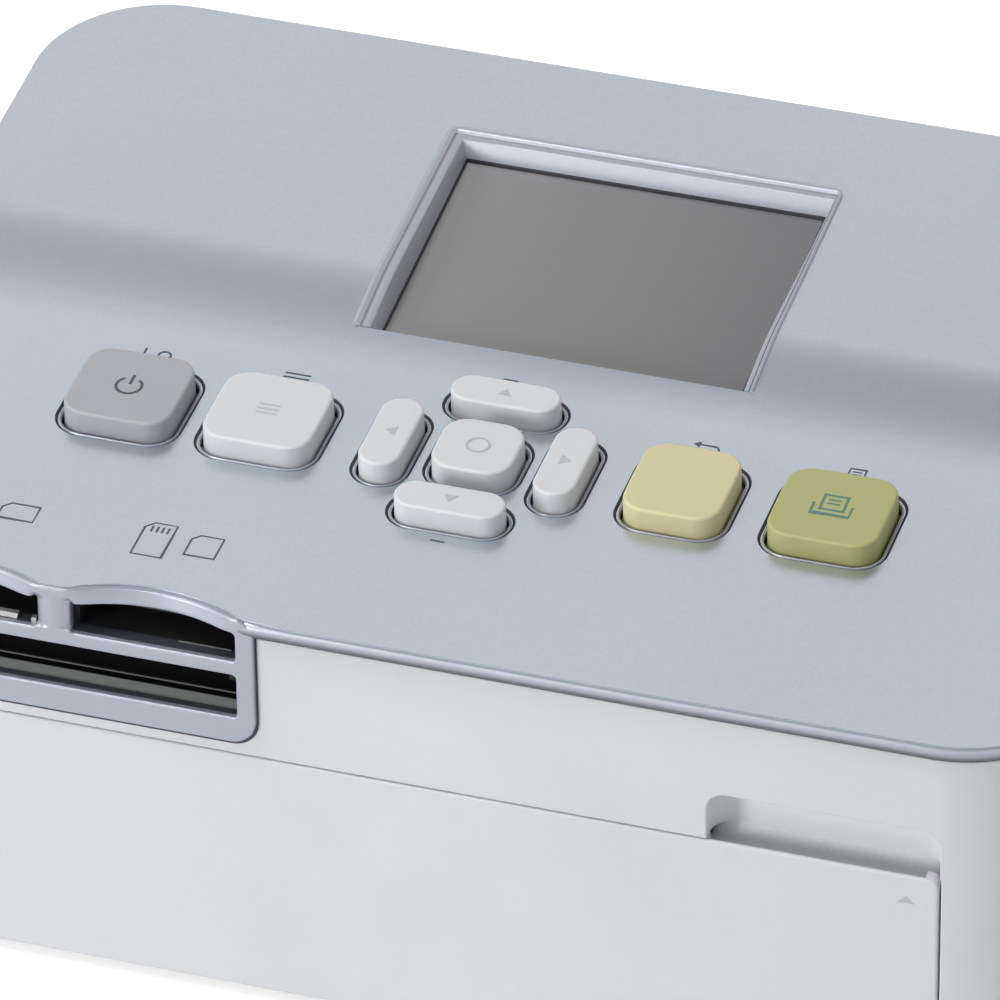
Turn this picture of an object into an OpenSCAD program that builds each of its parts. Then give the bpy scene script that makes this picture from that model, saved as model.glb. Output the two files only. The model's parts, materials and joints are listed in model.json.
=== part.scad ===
// Compact photo printer: a desktop dye-transfer printer with a fold-down front door,
// a side ink cassette, three card slots and a tilted control panel with a display.
// Millimetres. X to the right, Y to the back, Z up. Origin: centre of the footprint, on the floor.

/* [Body] */
// Width of the white casing, left to right
body_w = 176; // [175:1:190]
// Depth of the white casing, front to back
body_d = 124; // [122:1:132]
// Height of the seam under the silver bead, at the front
seam_h = 59.4; // [59:0.2:62]
// Radius of the upright corners in plan
corner_r = 17; // [15:0.5:18]
// Wall thickness of the casing
wall = 2.2; // [1.8:0.1:2.4]
// Height of the rubber feet below the casing
foot_h = 1.5; // [1.2:0.1:2.4]

/* [Top panel] */
// Slope of the key area, degrees
key_tilt = 2.64; // [2:0.1:3.4]
// Slope of the raised area behind it, degrees
deck_tilt = 5.48; // [5:0.1:6.5]
// Rise of the soft step between the two areas
step_rise = 1.4; // [0.8:0.1:2]
// Front-to-back length of the soft step
step_run = 20; // [16:1:22]
// Thickness of the silver panel
panel_t = 2; // [1.6:0.1:2]
// Height of the silver bead round the panel
bead_h = 2.25; // [2:0.05:2.5]
// How far the bead stands out from the casing
bead_out = 0.7; // [0.4:0.1:1]

/* [Display] */
// Width of the glass
glass_w = 49.6; // [48:0.2:50]
// Height of the glass, front to back
glass_d = 37.6; // [36.5:0.1:38]
// Slope of the glass, degrees
glass_tilt = 7.27; // [7:0.1:7.6]
// Width of the display frame on each side of the glass
rim_side = 3.5; // [3.2:0.05:3.9]

/* [Keys] */
// Side of the power, menu and print keys
key_size = 15.3; // [14:0.1:15.6]
// Side of the back key
back_size = 13.6; // [12.5:0.1:14.5]
// Side of the OK key
ok_size = 11.3; // [10:0.1:11.6]
// Length of a navigation key
nav_len = 15.2; // [13:0.1:15.6]
// Width of a navigation key
nav_wid = 5.9; // [5:0.1:6.2]
// Distance of the navigation keys from the OK key
nav_pitch = 12.1; // [11.9:0.1:12.6]
// Height of the keys above the panel
key_h = 2.5; // [1.8:0.1:3]
// Free travel of a key
key_travel = 0.8; // [0.5:0.1:0.8]
// Gap round each key
key_gap = 0.4; // [0.35:0.05:0.5]

/* [Front door] */
// Distance of the front door from each side of the casing
door_side = 15.8; // [15.5:0.1:19]
// Height of the top edge of the front door
door_top = 40.0; // [39:0.2:40.4]
// Width of the finger recess over the door
notch_w = 31.2; // [24:0.2:34]
// Height of the finger recess over the door
notch_h = 7.4; // [6:0.2:7.6]

/* [Card slots] */
// Width of the right arched slot
arch_r_w = 22.9; // [21.6:0.1:23.4]
// Width of the left arched slot
arch_l_w = 24.9; // [23:0.1:25]
// Width of the post between the arched slots
post_w = 4.7; // [4:0.1:5.2]
// Distance of the card bezel's right edge from the left side of the casing
bezel_reach = 67.8; // [67.4:0.1:68.4]
// Height of the lower slot
low_slot_h = 6.8; // [6:0.1:7]

/* [Mechanism] */
// Distance of the paper bay from each side of the casing
bay_side = 32; // [31.5:0.5:36]
// Radius of the platen, grip and pickup rollers
roller_r = 6; // [5:0.1:6]
// Gear module
gear_m = 0.8; // [0.8:0.05:0.8]
// Eject travel of the ink cassette
eject_travel = 3.5; // [2:0.1:3.8]

/* [Hidden] */

$fn = 64;
eps = 0.01;
front_y = -body_d / 2;
back_y = body_d / 2;
right_x = body_w / 2;
rear_shift = back_y - 62;             // the mechanism keeps its distance from the rear wall
floor_t = 2;                          // thickness of the base plate
floor_z = foot_h + floor_t;           // inside floor
bead_step = 0.75;                     // thickness of the panel's lip over the bead
lip_out = 0.3;                        // lip beyond the casing outline
seam_drop = bead_h + bead_step;       // panel surface over the seam of the casing
panel_front_z = seam_h + seam_drop;   // panel surface at the front edge
panel_inset = 1;                      // panel edge inside the casing outline
sheet = 1.2;                          // sheet metal of the chassis
shaft_r = 3;
run_fit = 0.05;                       // radial clearance of a turning shaft
free_gap = 0.4;                       // clearance round a moving cover

// ---- surface of the top panel -------------------------------------------------------------
step_y0 = -6;                         // front end of the soft step
step_n = 14;
function key_z(y) = panel_front_z + (y - front_y) * tan(key_tilt);
function deck_z(y) = key_z(step_y0) + step_rise + (y - step_y0) * tan(deck_tilt);
function ease(t) = t <= 0 ? 0 : t >= 1 ? 1 : t * t * (3 - 2 * t);
function top_z(y) = key_z(y) + ease((y - step_y0) / step_run) * (deck_z(y) - key_z(y));
top_ys = concat([front_y - 5], [for (i = [0:step_n]) step_y0 + step_run * i / step_n], [back_y + 5]);

// ---- keys -----------------------------------------------------------------------------------
key_row_y = front_y + 40;
nav_x = -2.5;
power_x = -51.4;
menu_x = -31.8;
back_x = 25.7;
print_x = 46.3;
key_flange_t = 0.8;
key_flange = 0.9;                     // how far the flange reaches under the panel
flange_gap = 0.25;                    // from the panel's underside to the flange
mat_z = -(panel_t + flange_gap + key_flange_t + key_travel + 0.15);
mat_t = 1;
board_t = 1.2;

// ---- display --------------------------------------------------------------------------------
pocket_y0 = 2;                        // front edge of the opening in the panel
glass_y0 = 5.2;                       // front edge of the glass
glass_z0 = top_z(pocket_y0) - 2.45;   // height of the glass there
rim_y1 = glass_y0 + glass_d + 2.6;
glass_t = 1;
rim_w = glass_w + 2 * rim_side;

// ---- door and recess ------------------------------------------------------------------------
door_t = 2;
door_w = body_w - 2 * door_side;
door_x = door_w / 2;
door_bottom = foot_h + 0.4;
hinge_y = front_y + 3.6;
hinge_z = foot_h + 3.6;
hinge_r = 1.2;
ear_r = 1.95;                         // half height of the hinge ears
ear_x = door_x - 9;
notch_x1 = door_x + 0.1;
notch_x0 = notch_x1 - notch_w;
notch_d = 4.7;                        // depth of the recess
notch_low = door_top - 3.6;           // its back wall goes down behind the door

// ---- card bezel -----------------------------------------------------------------------------
bezel_right = -right_x + bezel_reach;
bezel_z0 = seam_h - 16.8;
slot_x1 = bezel_right - 2.5;
arch_rx = slot_x1 - arch_r_w / 2;
arch_lx = slot_x1 - arch_r_w - post_w - arch_l_w / 2;
slot_x0 = arch_lx - arch_l_w / 2;
bezel_left = slot_x0 - 2.2;
low_slot_z = seam_h - 12.8;
arch_z0 = seam_h - 3.85;
slot_top = seam_h + 0.75;             // ceiling of the arched slots
bite_lean = 14;                       // lean of the walls over them, degrees
brow_t = 0.8;                         // thickness of those walls
bezel_out = 0.7;
bezel_y0 = front_y - bezel_out;
bezel_y1 = front_y + 1.8;
card_z = low_slot_z + low_slot_h + 0.2; // underside of the card board
card_y1 = rear_shift - 26;            // back of the lower card socket

// ---- mechanism ------------------------------------------------------------------------------
bay_w = body_w - 2 * bay_side;
chas_x = bay_w / 2 + 6;               // outer faces of the chassis plates
chas_in = chas_x - sheet;
chas_top = 54.2;
spool_z = 39.8;
takeup_y = rear_shift - 3;
supply_y = rear_shift + 33;
takeup_r = 8;
supply_r = 8;
film_z = 30.6;
platen_y = rear_shift + 15.5;
platen_z = 24;
grip_y = rear_shift + 47;
grip_z = 24;
pinch_r = 4;
pinch_z = grip_z + roller_r + pinch_r + 0.4;
pivot_y = rear_shift + 52;
pivot_z = 50.5;
arm_z = 51.8;
bracket_x = -right_x + 15;            // outer face of the motor bracket
gear_x0 = bracket_x + 5.5;            // feed train plane
gear_w = 4;
ribbon_x0 = bracket_x + 1.4;          // ribbon train plane
ribbon_w = 3.4;
bush_r = 4.5;
print_x1 = chas_in - 8.8;             // half length of the printing width
lug_x = chas_in - 5.8;
lug_y = rear_shift + 26;              // screws of the chassis
cas_x0 = -chas_in + 1.2;              // left end of the ink cassette
cas_x1 = chas_in - 0.6;
cas_tab = right_x - 6.3 - eject_travel; // end of its grip tab
cas_wall = 1.2;

pinion_n = 10;
idler_n = 16;
wheel_n = 24;
function pitch_r(n) = gear_m * n / 2;
function mesh_d(a, b) = pitch_r(a) + pitch_r(b) + 0.05;
function step_to(p, d, a) = [p[0] + d * cos(a), p[1] + d * sin(a)];
// phase of gear b (nb teeth) that meshes with gear a (phase pa, na teeth) lying at direction dir
function mesh_phase(pa, na, nb, dir) = dir + 180 - ((pa - dir) * na / 360 + 0.5) * 360 / nb;
function dir_of(p, q) = atan2(q[1] - p[1], q[0] - p[0]);

grip_c = [grip_y, grip_z];
grip_dir = 151;                       // from the grip roller to its idler
idler_a = step_to(grip_c, mesh_d(wheel_n, idler_n), grip_dir);
pin_dir = 210;                        // from that idler to the motor pinion
pinion_c = step_to(idler_a, mesh_d(idler_n, pinion_n), pin_dir);
front_dir = 235;
idler_b = step_to(pinion_c, mesh_d(pinion_n, wheel_n), front_dir);
mid_dir = 175;
idler_c = step_to(idler_b, mesh_d(wheel_n, wheel_n), mid_dir);
pick_dir = 140;
pickup_c = step_to(idler_c, mesh_d(wheel_n, idler_n), pick_dir);
ribbon_c = [takeup_y, spool_z];
ribbon_dir = 150;
ribbon_pin_c = step_to(ribbon_c, mesh_d(idler_n, pinion_n), ribbon_dir);

ph_pinion = 0;
ph_idler_a = mesh_phase(ph_pinion, pinion_n, idler_n, pin_dir - 180);
ph_grip = mesh_phase(ph_idler_a, idler_n, wheel_n, grip_dir - 180);
ph_idler_b = mesh_phase(ph_pinion, pinion_n, wheel_n, front_dir);
ph_idler_c = mesh_phase(ph_idler_b, wheel_n, wheel_n, mid_dir);
ph_pickup = mesh_phase(ph_idler_c, wheel_n, idler_n, pick_dir);
ph_ribbon_pin = mesh_phase(0, idler_n, pinion_n, ribbon_dir);

// ---- ink door and rear fittings -------------------------------------------------------------
ink_y0 = rear_shift - 17;
ink_y1 = rear_shift + 44;
ink_z0 = 22;
ink_z1 = 52;
ink_pivot_x = right_x - 1;
ink_pivot_z = ink_z0 + 1.6;
ink_pin_r = 0.6;
slot_z0 = 26.4;                       // rear paper slot
slot_z1 = 32.6;
fan_y = front_y + 29;                 // fan on the right wall
fan_z = 30;
fan_s = 20;
main_z = chas_top + 0.3;

// ---- shared shapes --------------------------------------------------------------------------
module rounded(w, d, r) {
    square([w - 2 * r, d], center = true);
    square([w, d - 2 * r], center = true);
    for (sx = [-1, 1], sy = [-1, 1])
        translate([sx * (w / 2 - r), sy * (d / 2 - r)]) circle(r);
}
// upright prism of the casing's outline, grown by g
module plan(g, z0, z1) {
    translate([0, 0, z0]) linear_extrude(z1 - z0) rounded(body_w + 2 * g, body_d + 2 * g, corner_r + g);
}
// everything below the panel surface shifted by off
module under(off) {
    translate([-body_w / 2 - 5, 0, 0]) rotate([90, 0, 90]) linear_extrude(body_w + 10)
        polygon(concat([[front_y - 5, -5]], [for (y = top_ys) [y, top_z(y) + off]], [[back_y + 5, -5]]));
}
// band of the outline between two shifts of the panel surface
module skin(g, lo, hi) {
    difference() {
        intersection() { plan(g, 40, 90); under(hi); }
        under(lo);
    }
}
module box(x0, x1, y0, y1, z0, z1) {
    translate([x0, y0, z0]) cube([x1 - x0, y1 - y0, z1 - z0]);
}
// shape in the Y-Z plane, extruded along X
module along_x(x0, x1) {
    translate([x0, 0, 0]) rotate([90, 0, 90]) linear_extrude(x1 - x0) children();
}
// shape in the X-Z plane, extruded along Y
module along_y(y0, y1) {
    translate([0, y1, 0]) rotate([90, 0, 0]) linear_extrude(y1 - y0) children();
}
module rod_x(x0, x1, c, r) {
    translate([x0, c[0], c[1]]) rotate([0, 90, 0]) cylinder(r = r, h = x1 - x0);
}
module rod_y(y0, y1, x, z, r) {
    translate([x, y1, z]) rotate([90, 0, 0]) cylinder(r = r, h = y1 - y0);
}
module rod_z(z0, z1, x, y, r) {
    translate([x, y, z0]) cylinder(r = r, h = z1 - z0);
}
// one tooth: offsets along the pitch circle, in pitches, and outward, in modules
tooth = [[-0.29, -0.95], [-0.12, 0.7], [0.12, 0.7], [0.29, -0.95]];
// toothed wheel in the Y-Z plane
module gear(n, c, phase, x0, x1) {
    rp = pitch_r(n);
    pitch = 360 / n;
    translate([0, c[0], c[1]]) along_x(x0, x1)
        polygon([for (i = [0:n - 1], k = tooth)
            let (a = phase + (i + k[0]) * pitch, r = rp + k[1] * gear_m) [r * cos(a), r * sin(a)]]);
}
// frame lying in the plane of the key area, origin on its surface in the key row
module key_frame(x, y) {
    translate([x, key_row_y + y, key_z(key_row_y + y)]) rotate([key_tilt, 0, 0]) children();
}
module key_solid(w, d, r) {
    cap_z = key_h - 0.7;
    translate([0, 0, -panel_t - flange_gap - eps]) linear_extrude(cap_z + panel_t + flange_gap + eps)
        rounded(w, d, r);
    translate([0, 0, cap_z - eps]) linear_extrude(0.4 + eps) rounded(w - 0.4, d - 0.4, r - 0.2);
    translate([0, 0, cap_z + 0.4 - eps]) linear_extrude(0.3 + eps) rounded(w - 1.1, d - 1.1, r - 0.5);
    translate([0, 0, -panel_t - flange_gap - key_flange_t]) linear_extrude(key_flange_t)
        rounded(w + 2 * key_flange, d + 2 * key_flange, r + key_flange);
}
module key_hole(w, d, r) {
    translate([0, 0, -panel_t - 2]) linear_extrude(panel_t + 4)
        rounded(w + 2 * key_gap, d + 2 * key_gap, r + key_gap);
    translate([0, 0, -0.25]) linear_extrude(2)
        rounded(w + 2 * key_gap + 0.8, d + 2 * key_gap + 0.8, r + key_gap + 0.4);
}
big_r = 3.2;
nav_r = nav_wid / 2 - 0.1;
module each_key() {
    key_frame(power_x, 0) key_hole(key_size, key_size, big_r);
    key_frame(menu_x, 0) key_hole(key_size, key_size, big_r);
    for (s = [-1, 1]) {
        key_frame(nav_x + s * nav_pitch, 0) key_hole(nav_wid, nav_len, nav_r);
        key_frame(nav_x, s * nav_pitch) key_hole(nav_len, nav_wid, nav_r);
    }
    key_frame(nav_x, 0) key_hole(ok_size, ok_size, big_r);
    key_frame(back_x, 0) key_hole(back_size, key_size, big_r);
    key_frame(print_x, 0) key_hole(key_size, key_size, big_r);
}
// frame lying in the plane of the glass, origin at the middle of its front edge
module glass_frame() {
    translate([0, glass_y0, glass_z0]) rotate([glass_tilt, 0, 0]) children();
}

// ---- casing ---------------------------------------------------------------------------------
base_holes = [for (sx = [-1, 1], sy = [-1, 1]) [sx * (right_x - 10), sy * (back_y - 11)]];
module base_tray() color("gainsboro") {
    difference() {
        union() {
            intersection() {
                plan(-wall - 0.2, foot_h, floor_z);
                box(-right_x, right_x, front_y + 7.4, back_y, 0, floor_z);
            }
            // hinge ears for the front door
            for (s = [-1, 1]) translate([s * ear_x, 0, 0]) {
                rod_x(-2, 2, [hinge_y, hinge_z], ear_r);
                box(-2, 2, hinge_y, front_y + 9.5, hinge_z - ear_r, hinge_z + ear_r);
                box(-2, 2, front_y + 7.5, front_y + 9.5, foot_h, hinge_z);
            }
            // paper guides of the bay
            for (s = [-1, 1]) translate([s * (bay_w / 2 + 1.2), 0, 0])
                box(-0.8, 0.8, front_y + 10, pickup_c[0], floor_z - eps, floor_z + 9);
            // screw bosses for the chassis
            for (s = [-1, 1], y = [lug_y - 54, lug_y]) rod_z(floor_z - eps, floor_z + 1.2, s * lug_x, y, 3);
        }
        for (p = base_holes) rod_z(0, 20, p[0], p[1], 1.7);
        for (s = [-1, 1]) rod_x(-right_x, right_x, [hinge_y, hinge_z], hinge_r + run_fit);
        for (s = [-1, 1], y = [lug_y - 54, lug_y]) rod_z(0, 20, s * lug_x, y, 1.25);
        // cooling slots
        for (i = [-4:4]) box(i * 9 - 2, i * 9 + 2, lug_y + 4, lug_y + 20, 0, 20);
    }
}

module notch_shape(g) {
    r = 2.6;
    x0 = notch_x0 - g;
    x1 = notch_x1 + g;
    z1 = door_top + 0.2 + notch_h + g;
    z0 = door_top + 0.2 - g;
    translate([x0, z0]) square([x1 - x0, z1 - z0 - r]);
    translate([x0 + r, z0]) square([x1 - x0 - 2 * r, z1 - z0]);
    for (x = [x0 + r, x1 - r]) translate([x, z1 - r]) circle(r);
}

module body_shell() color("whitesmoke") difference() {
    union() {
        difference() {
            intersection() { plan(0, foot_h, 90); under(-seam_drop); }
            difference() {
                plan(-wall, 0, 90);
                // ledge that the base plate closes against
                difference() {
                    plan(1, floor_z, floor_z + 1.6);
                    plan(-wall - 2.4, 0, 90);
                }
            }
            // front door and its frame
            box(-door_x - 0.3, door_x + 0.3, front_y - 1, front_y + 7.2, -1, door_top + 0.2);
        }
        // wall behind the finger recess
        intersection() {
            union() {
                box(notch_x0 - 1.4, notch_x1 + 1.4, front_y, front_y + notch_d + 1.4,
                    door_top + 0.2, door_top + notch_h + 1.6);
                box(notch_x0 - 1.4, notch_x1 + 1.4, front_y + notch_d, front_y + notch_d + 1.4,
                    notch_low, door_top + 1);
            }
            plan(-0.1, 0, 90);
        }
        // corner bosses for the case screws
        for (p = base_holes) rod_z(floor_z, floor_z + 9, p[0], p[1], 4);
        // webs that tie the bosses to the walls
        for (p = base_holes) intersection() {
            plan(-wall / 2, 0, 90);
            translate([p[0], p[1], 0]) box(-10, 10, -1, 1, floor_z, floor_z + 9);
        }
    }
    for (p = base_holes) rod_z(0, floor_z + 8, p[0], p[1], 1.25);
    intersection() {
        along_y(front_y - 1, front_y + 9) notch_shape(0);
        translate([(notch_x0 + notch_x1) / 2, front_y, 30]) linear_extrude(30)
            rounded(notch_w, 2 * notch_d, 3);
    }
    // card bezel
    along_y(front_y - 1, front_y + 4) bezel_outline(0.1);
    // ink door
    along_x(right_x - wall - 1, right_x + 1)
        translate([(ink_y0 + ink_y1) / 2, (ink_z0 + ink_z1) / 2])
            rounded(ink_y1 - ink_y0, ink_z1 - ink_z0, 1.6);
    rod_y(ink_y0 - 1.6, ink_y1 + 1.6, ink_pivot_x, ink_pivot_z, ink_pin_r + run_fit);
    // rear paper slot
    box(-bay_w / 2 + 2, bay_w / 2 - 2, back_y - wall - 1, back_y + 1, slot_z0, slot_z1);
    // air slots of the fan
    for (i = [-2:2]) translate([right_x, fan_y, fan_z + i * 3.6])
        cube([2 * wall + 2, 16, 1.8], center = true);
    // sockets
    box(jack_x - 4.8, jack_x + 4.8, back_y - wall - 1, back_y + 1, jack_z - 5.3, jack_z + 5.3);
    translate([-right_x, usb_b_y, usb_b_z]) cube([2 * wall + 2, 10, 9.4], center = true);
    translate([-right_x, usb_a_y, usb_a_z]) cube([2 * wall + 2, 14.2, 6.6], center = true);
}

frame_y0 = front_y + 7.6;              // sheet behind the front door
frame_y1 = frame_y0 + 1.8;
module front_frame() color("lightgray") difference() {
    union() {
        box(-door_x + 1, door_x - 1, frame_y0, frame_y1, floor_z, door_top + 4);
        // rim of the bay mouth
        box(-bay_w / 2 - 2, bay_w / 2 + 2, front_y + 5.2, frame_y1, floor_z + 1, 36);
    }
    box(-bay_w / 2, bay_w / 2, front_y, frame_y1 + 1, floor_z + 2.2, 34);
    // clear of the hinge ears
    for (s = [-1, 1]) translate([s * ear_x, 0, 0])
        box(-2.3, 2.3, front_y, frame_y1 + 1, 0, hinge_z + 2.6);
    // clear of the finger recess
    box(notch_x0 - 2, notch_x1 + 2, front_y, frame_y1 + 1, door_top - 1, 90);
}

module top_panel() color("lightsteelblue") difference() {
    union() {
        skin(-panel_inset, -panel_t, 0);
        skin(lip_out, -bead_step, 0);
    }
    each_key();
    // opening of the display frame
    box(-rim_w / 2 + 0.6, rim_w / 2 - 0.6, pocket_y0, rim_y1 - 0.6, 50, 90);
    // round bites over the card arches, and room for the bezel under the lip
    for (c = [arch_lx, arch_rx]) bite(c, brow_t + 0.05, 50);
    intersection() {
        box(bezel_left - 0.1, bezel_right + 0.1, front_y - 1, bezel_y1 + 0.1, 50, 90);
        under(-bead_step);
    }
}

module trim_bead() color("silver") difference() {
    union() {
        difference() {
            union() {
                skin(bead_out - 0.4, -seam_drop, -bead_step - 0.05);
                skin(bead_out, -seam_drop + 0.45, -bead_step - 0.45);
            }
            plan(-panel_inset + 0.1, 40, 90);
        }
        difference() {
            skin(-panel_inset + 0.1, -seam_drop, -panel_t);
            plan(-4, 40, 90);
        }
    }
    box(bezel_left - 0.1, bezel_right + 0.1, front_y - 2, bezel_y1 + 0.3, 40, 90);
    box(slot_x0 - 1.4, slot_x1 + 1.4, front_y - 2, front_y + 6, 40, 90);
}

// ---- card bezel -----------------------------------------------------------------------------
// upright round bite into the front edge over an arched slot, grown by g, above z0
module bite(c, g, z0) {
    w = c == arch_rx ? arch_r_w : arch_l_w;
    r = w * w / 22.3;
    intersection() {
        translate([c, front_y + 2, slot_top + 2.35]) rotate([-bite_lean, 0, 0])
            translate([0, -r, -20]) cylinder(r = r + g, h = 40, $fn = 128);
        box(c - w / 2 - 2, c + w / 2 + 2, front_y - 3, front_y + 5, z0, 80);
    }
}
module bezel_outline(g) {
    r = 3.6 + g;
    x0 = bezel_left - g;
    x1 = bezel_right + g;
    z0 = bezel_z0 - g;
    translate([x0, z0 + r]) square([x1 - x0, seam_h + 3 + g - z0 - r]);
    translate([x0 + r, z0]) square([x1 - x0 - 2 * r, r + 1]);
    for (x = [x0 + r, x1 - r]) translate([x, z0 + r]) circle(r);
}
module card_bezel() color("lightsteelblue") difference() {
    intersection() {
        union() {
            intersection() {
                along_y(bezel_y0, bezel_y1) bezel_outline(0);
                under(-bead_step - 0.05);
            }
            for (c = [arch_lx, arch_rx]) intersection() {
                bite(c, brow_t, slot_top);
                box(bezel_left, bezel_right, bezel_y0, front_y + 5, slot_top, 80);
                under(-0.4);
            }
        }
        plan(bezel_out, 0, 90);
    }
    for (c = [arch_lx, arch_rx]) {
        w = c == arch_rx ? arch_r_w : arch_l_w;
        box(c - w / 2, c + w / 2, front_y - 3, 0, arch_z0, slot_top + eps);
        bite(c, 0, slot_top);
    }
    box(slot_x0, slot_x1, front_y - 3, 0, low_slot_z, low_slot_z + low_slot_h);
}

// ---- display --------------------------------------------------------------------------------
// funnel over the glass, with drafted walls at the left, right and back
module pocket_cut() {
    draft = 13;
    intersection() {
        glass_frame() translate([-glass_w / 2, -12, 0]) rotate([0, -draft, 0])
            translate([0, 0, -30]) cube(90);
        glass_frame() translate([glass_w / 2, -12, 0]) rotate([0, draft, 0])
            translate([-90, 0, -30]) cube(90);
        glass_frame() translate([-60, glass_d, 0]) rotate([-draft, 0, 0])
            translate([0, -90, -30]) cube([120, 90, 90]);
        box(-60, 60, pocket_y0, 80, 50, 90);
    }
}
module display_frame() color("silver") difference() {
    intersection() {
        difference() {
            under(0.45);
            glass_frame() translate([-60, -30, -80]) cube([120, 90, 80]);
        }
        translate([0, rim_y1 / 2, 50]) linear_extrude(40) rounded(rim_w, rim_y1, 3);
        box(-60, 60, pocket_y0 + 0.05, 80, 50, 90);
    }
    pocket_cut();
    // the bead sits on the panel, only the inner collar goes through it
    difference() {
        under(0);
        box(-rim_w / 2 + 0.7, rim_w / 2 - 0.7, pocket_y0 + 0.1, rim_y1 - 0.7, 50, 90);
    }
}
module display_gasket() color("black") glass_frame() difference() {
    translate([-glass_w / 2 - 0.9, -1.2, -glass_t - 0.4]) cube([glass_w + 1.8, glass_d + 2.1, 0.4]);
    translate([-glass_w / 2 + 0.8, 0.8, -5]) cube([glass_w - 1.6, glass_d - 1.6, 10]);
}
module display_glass() color("dimgray") glass_frame()
    translate([-glass_w / 2 - 0.9, -1.2, -glass_t]) cube([glass_w + 1.8, glass_d + 2.1, glass_t]);
module lcd_module() color("darkslategray") glass_frame() {
    translate([-glass_w / 2 - 2, -2, -glass_t - 4.4]) cube([glass_w + 4, glass_d + 4.2, 4]);
    translate([-8, glass_d - 0.5, -glass_t - 5]) cube([16, 2.7, 0.62]);
}

// ---- boards ---------------------------------------------------------------------------------
module keypad_mat() color("dimgray") key_frame(0, 0) {
    translate([-right_x + 26, -15.4, mat_z - mat_t]) cube([body_w - 56, 32.4, mat_t]);
    // domes under the large keys
    for (x = [power_x, menu_x, back_x, print_x]) translate([x, 0, mat_z - eps]) cylinder(r = 3.5, h = 0.12);
}
module control_board() color("darkgreen") key_frame(0, 0)
    translate([-right_x + 24, -15.6, mat_z - mat_t - board_t]) cube([body_w - 52, 33, board_t]);
module card_board() color("darkgreen")
    box(slot_x0 + 1, slot_x1 + 12, front_y + wall + 0.3, front_y + 24.5, card_z, card_z + board_t);
module upper_socket(cx, w) {
    z0 = card_z + board_t;
    difference() {
        union() {
            box(cx - w / 2 - 0.9, cx + w / 2 + 0.9, bezel_y1 + 0.05, front_y + 22, z0, z0 + 3.2);
            box(cx - w / 2 - 0.9, cx + w / 2 + 0.9, bezel_y1 + 0.05, front_y + 12, z0, slot_top - 0.05);
        }
        box(cx - w / 2, cx + w / 2, front_y, front_y + 20.5, z0 + 0.6, z0 + 2.7);
        box(cx - w / 2, cx + w / 2, front_y, front_y + 10.5, z0 + 0.6, slot_top - 0.4);
    }
    // contact springs
    for (i = [-4:4]) translate([cx + i * 2.2, 0, 0])
        box(-0.4, 0.4, front_y + 14, front_y + 20.8, z0 + 0.55, z0 + 0.9);
}
module left_card_socket() color("black") upper_socket(arch_lx, 24.3);
module right_card_socket() color("black") upper_socket(arch_rx, 21.8);
module lower_card_socket() color("black") {
    cx = slot_x1 - 0.4 - 21.7;
    x0 = cx - 21.7;
    x1 = cx + 21.7;
    difference() {
        box(slot_x0 + 0.4, x1 + 1.6, bezel_y1 + 0.05, card_y1, low_slot_z - 0.8, card_z);
        box(x0, x1, front_y, card_y1 - 3, low_slot_z + 0.5, low_slot_z + low_slot_h - 1);
        box(x0 + 2.2, x1 - 2.2, front_y, front_y + 12, low_slot_z + 0.2, low_slot_z + low_slot_h - 0.6);
        box(slot_x0 + 1.6, x0 - 1.5, front_y, card_y1 - 3, low_slot_z + 0.6, low_slot_z + low_slot_h - 1);
    }
    // side guide rails
    for (s = [-1, 1]) translate([cx + s * 20.6, 0, low_slot_z])
        box(-1.15, 1.15, front_y + 4, card_y1 - 2.8, 2.4, 3.5);
    box(x0 - 0.05, x1 + 0.05, front_y + 8, front_y + 10, low_slot_z + 0.45, low_slot_z + 1.3);
}

jack_x = -right_x + 21.4;
jack_z = main_z - 5.6;
usb_b_y = rear_shift + 36;
usb_b_z = main_z - 5.2;
usb_a_y = rear_shift + 15;
usb_a_z = main_z - 3.6;
module main_board() color("darkgreen") translate([0, rear_shift, 0]) {
    x0 = -right_x + 4;
    x1 = chas_x - 5;
    translate([0, 0, main_z]) linear_extrude(1.6)
        polygon([[x0, 2], [x0, 44], [x0 + 11, 56], [x1, 56], [x1, 2]]);
    // processor, memory, regulator and capacitors
    box(-24, -8, 16, 32, main_z + 1.59, main_z + 2.9);
    box(0, 12, 18, 28, main_z + 1.59, main_z + 2.7);
    box(20, 30, 22, 30, main_z + 1.59, main_z + 2.8);
    box(x0 + 10, x0 + 20, 20, 30, main_z + 1.59, main_z + 3);
    for (i = [0:2]) rod_z(main_z + 1.59, main_z + 6, x0 + 12 + i * 8, 42, 3);
}
module dc_jack() color("black") difference() {
    union() {
        box(jack_x - 4.5, jack_x + 4.5, back_y - wall - 13, back_y - wall - 0.1, jack_z - 5, main_z);
        box(jack_x - 4.5, jack_x + 4.5, back_y - wall - 1, back_y - 0.8, jack_z - 5, jack_z + 5);
    }
    rod_y(back_y - wall - 11, back_y, jack_x, jack_z, 3);
}
module usb_device_socket() color("lightgray") difference() {
    box(-right_x + wall + 0.1, -right_x + wall + 15, usb_b_y - 6, usb_b_y + 6, usb_b_z - 5.4, main_z);
    box(-right_x, -right_x + wall + 13, usb_b_y - 4.3, usb_b_y + 4.3, usb_b_z - 4.1, usb_b_z + 3.9);
}
module usb_host_socket() color("lightgray") difference() {
    box(-right_x + wall + 0.1, -right_x + wall + 14, usb_a_y - 7.2, usb_a_y + 7.2, usb_a_z - 3.4, main_z);
    box(-right_x, -right_x + wall + 12, usb_a_y - 6.3, usb_a_y + 6.3, usb_a_z - 2.6, usb_a_z + 2.6);
}

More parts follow.
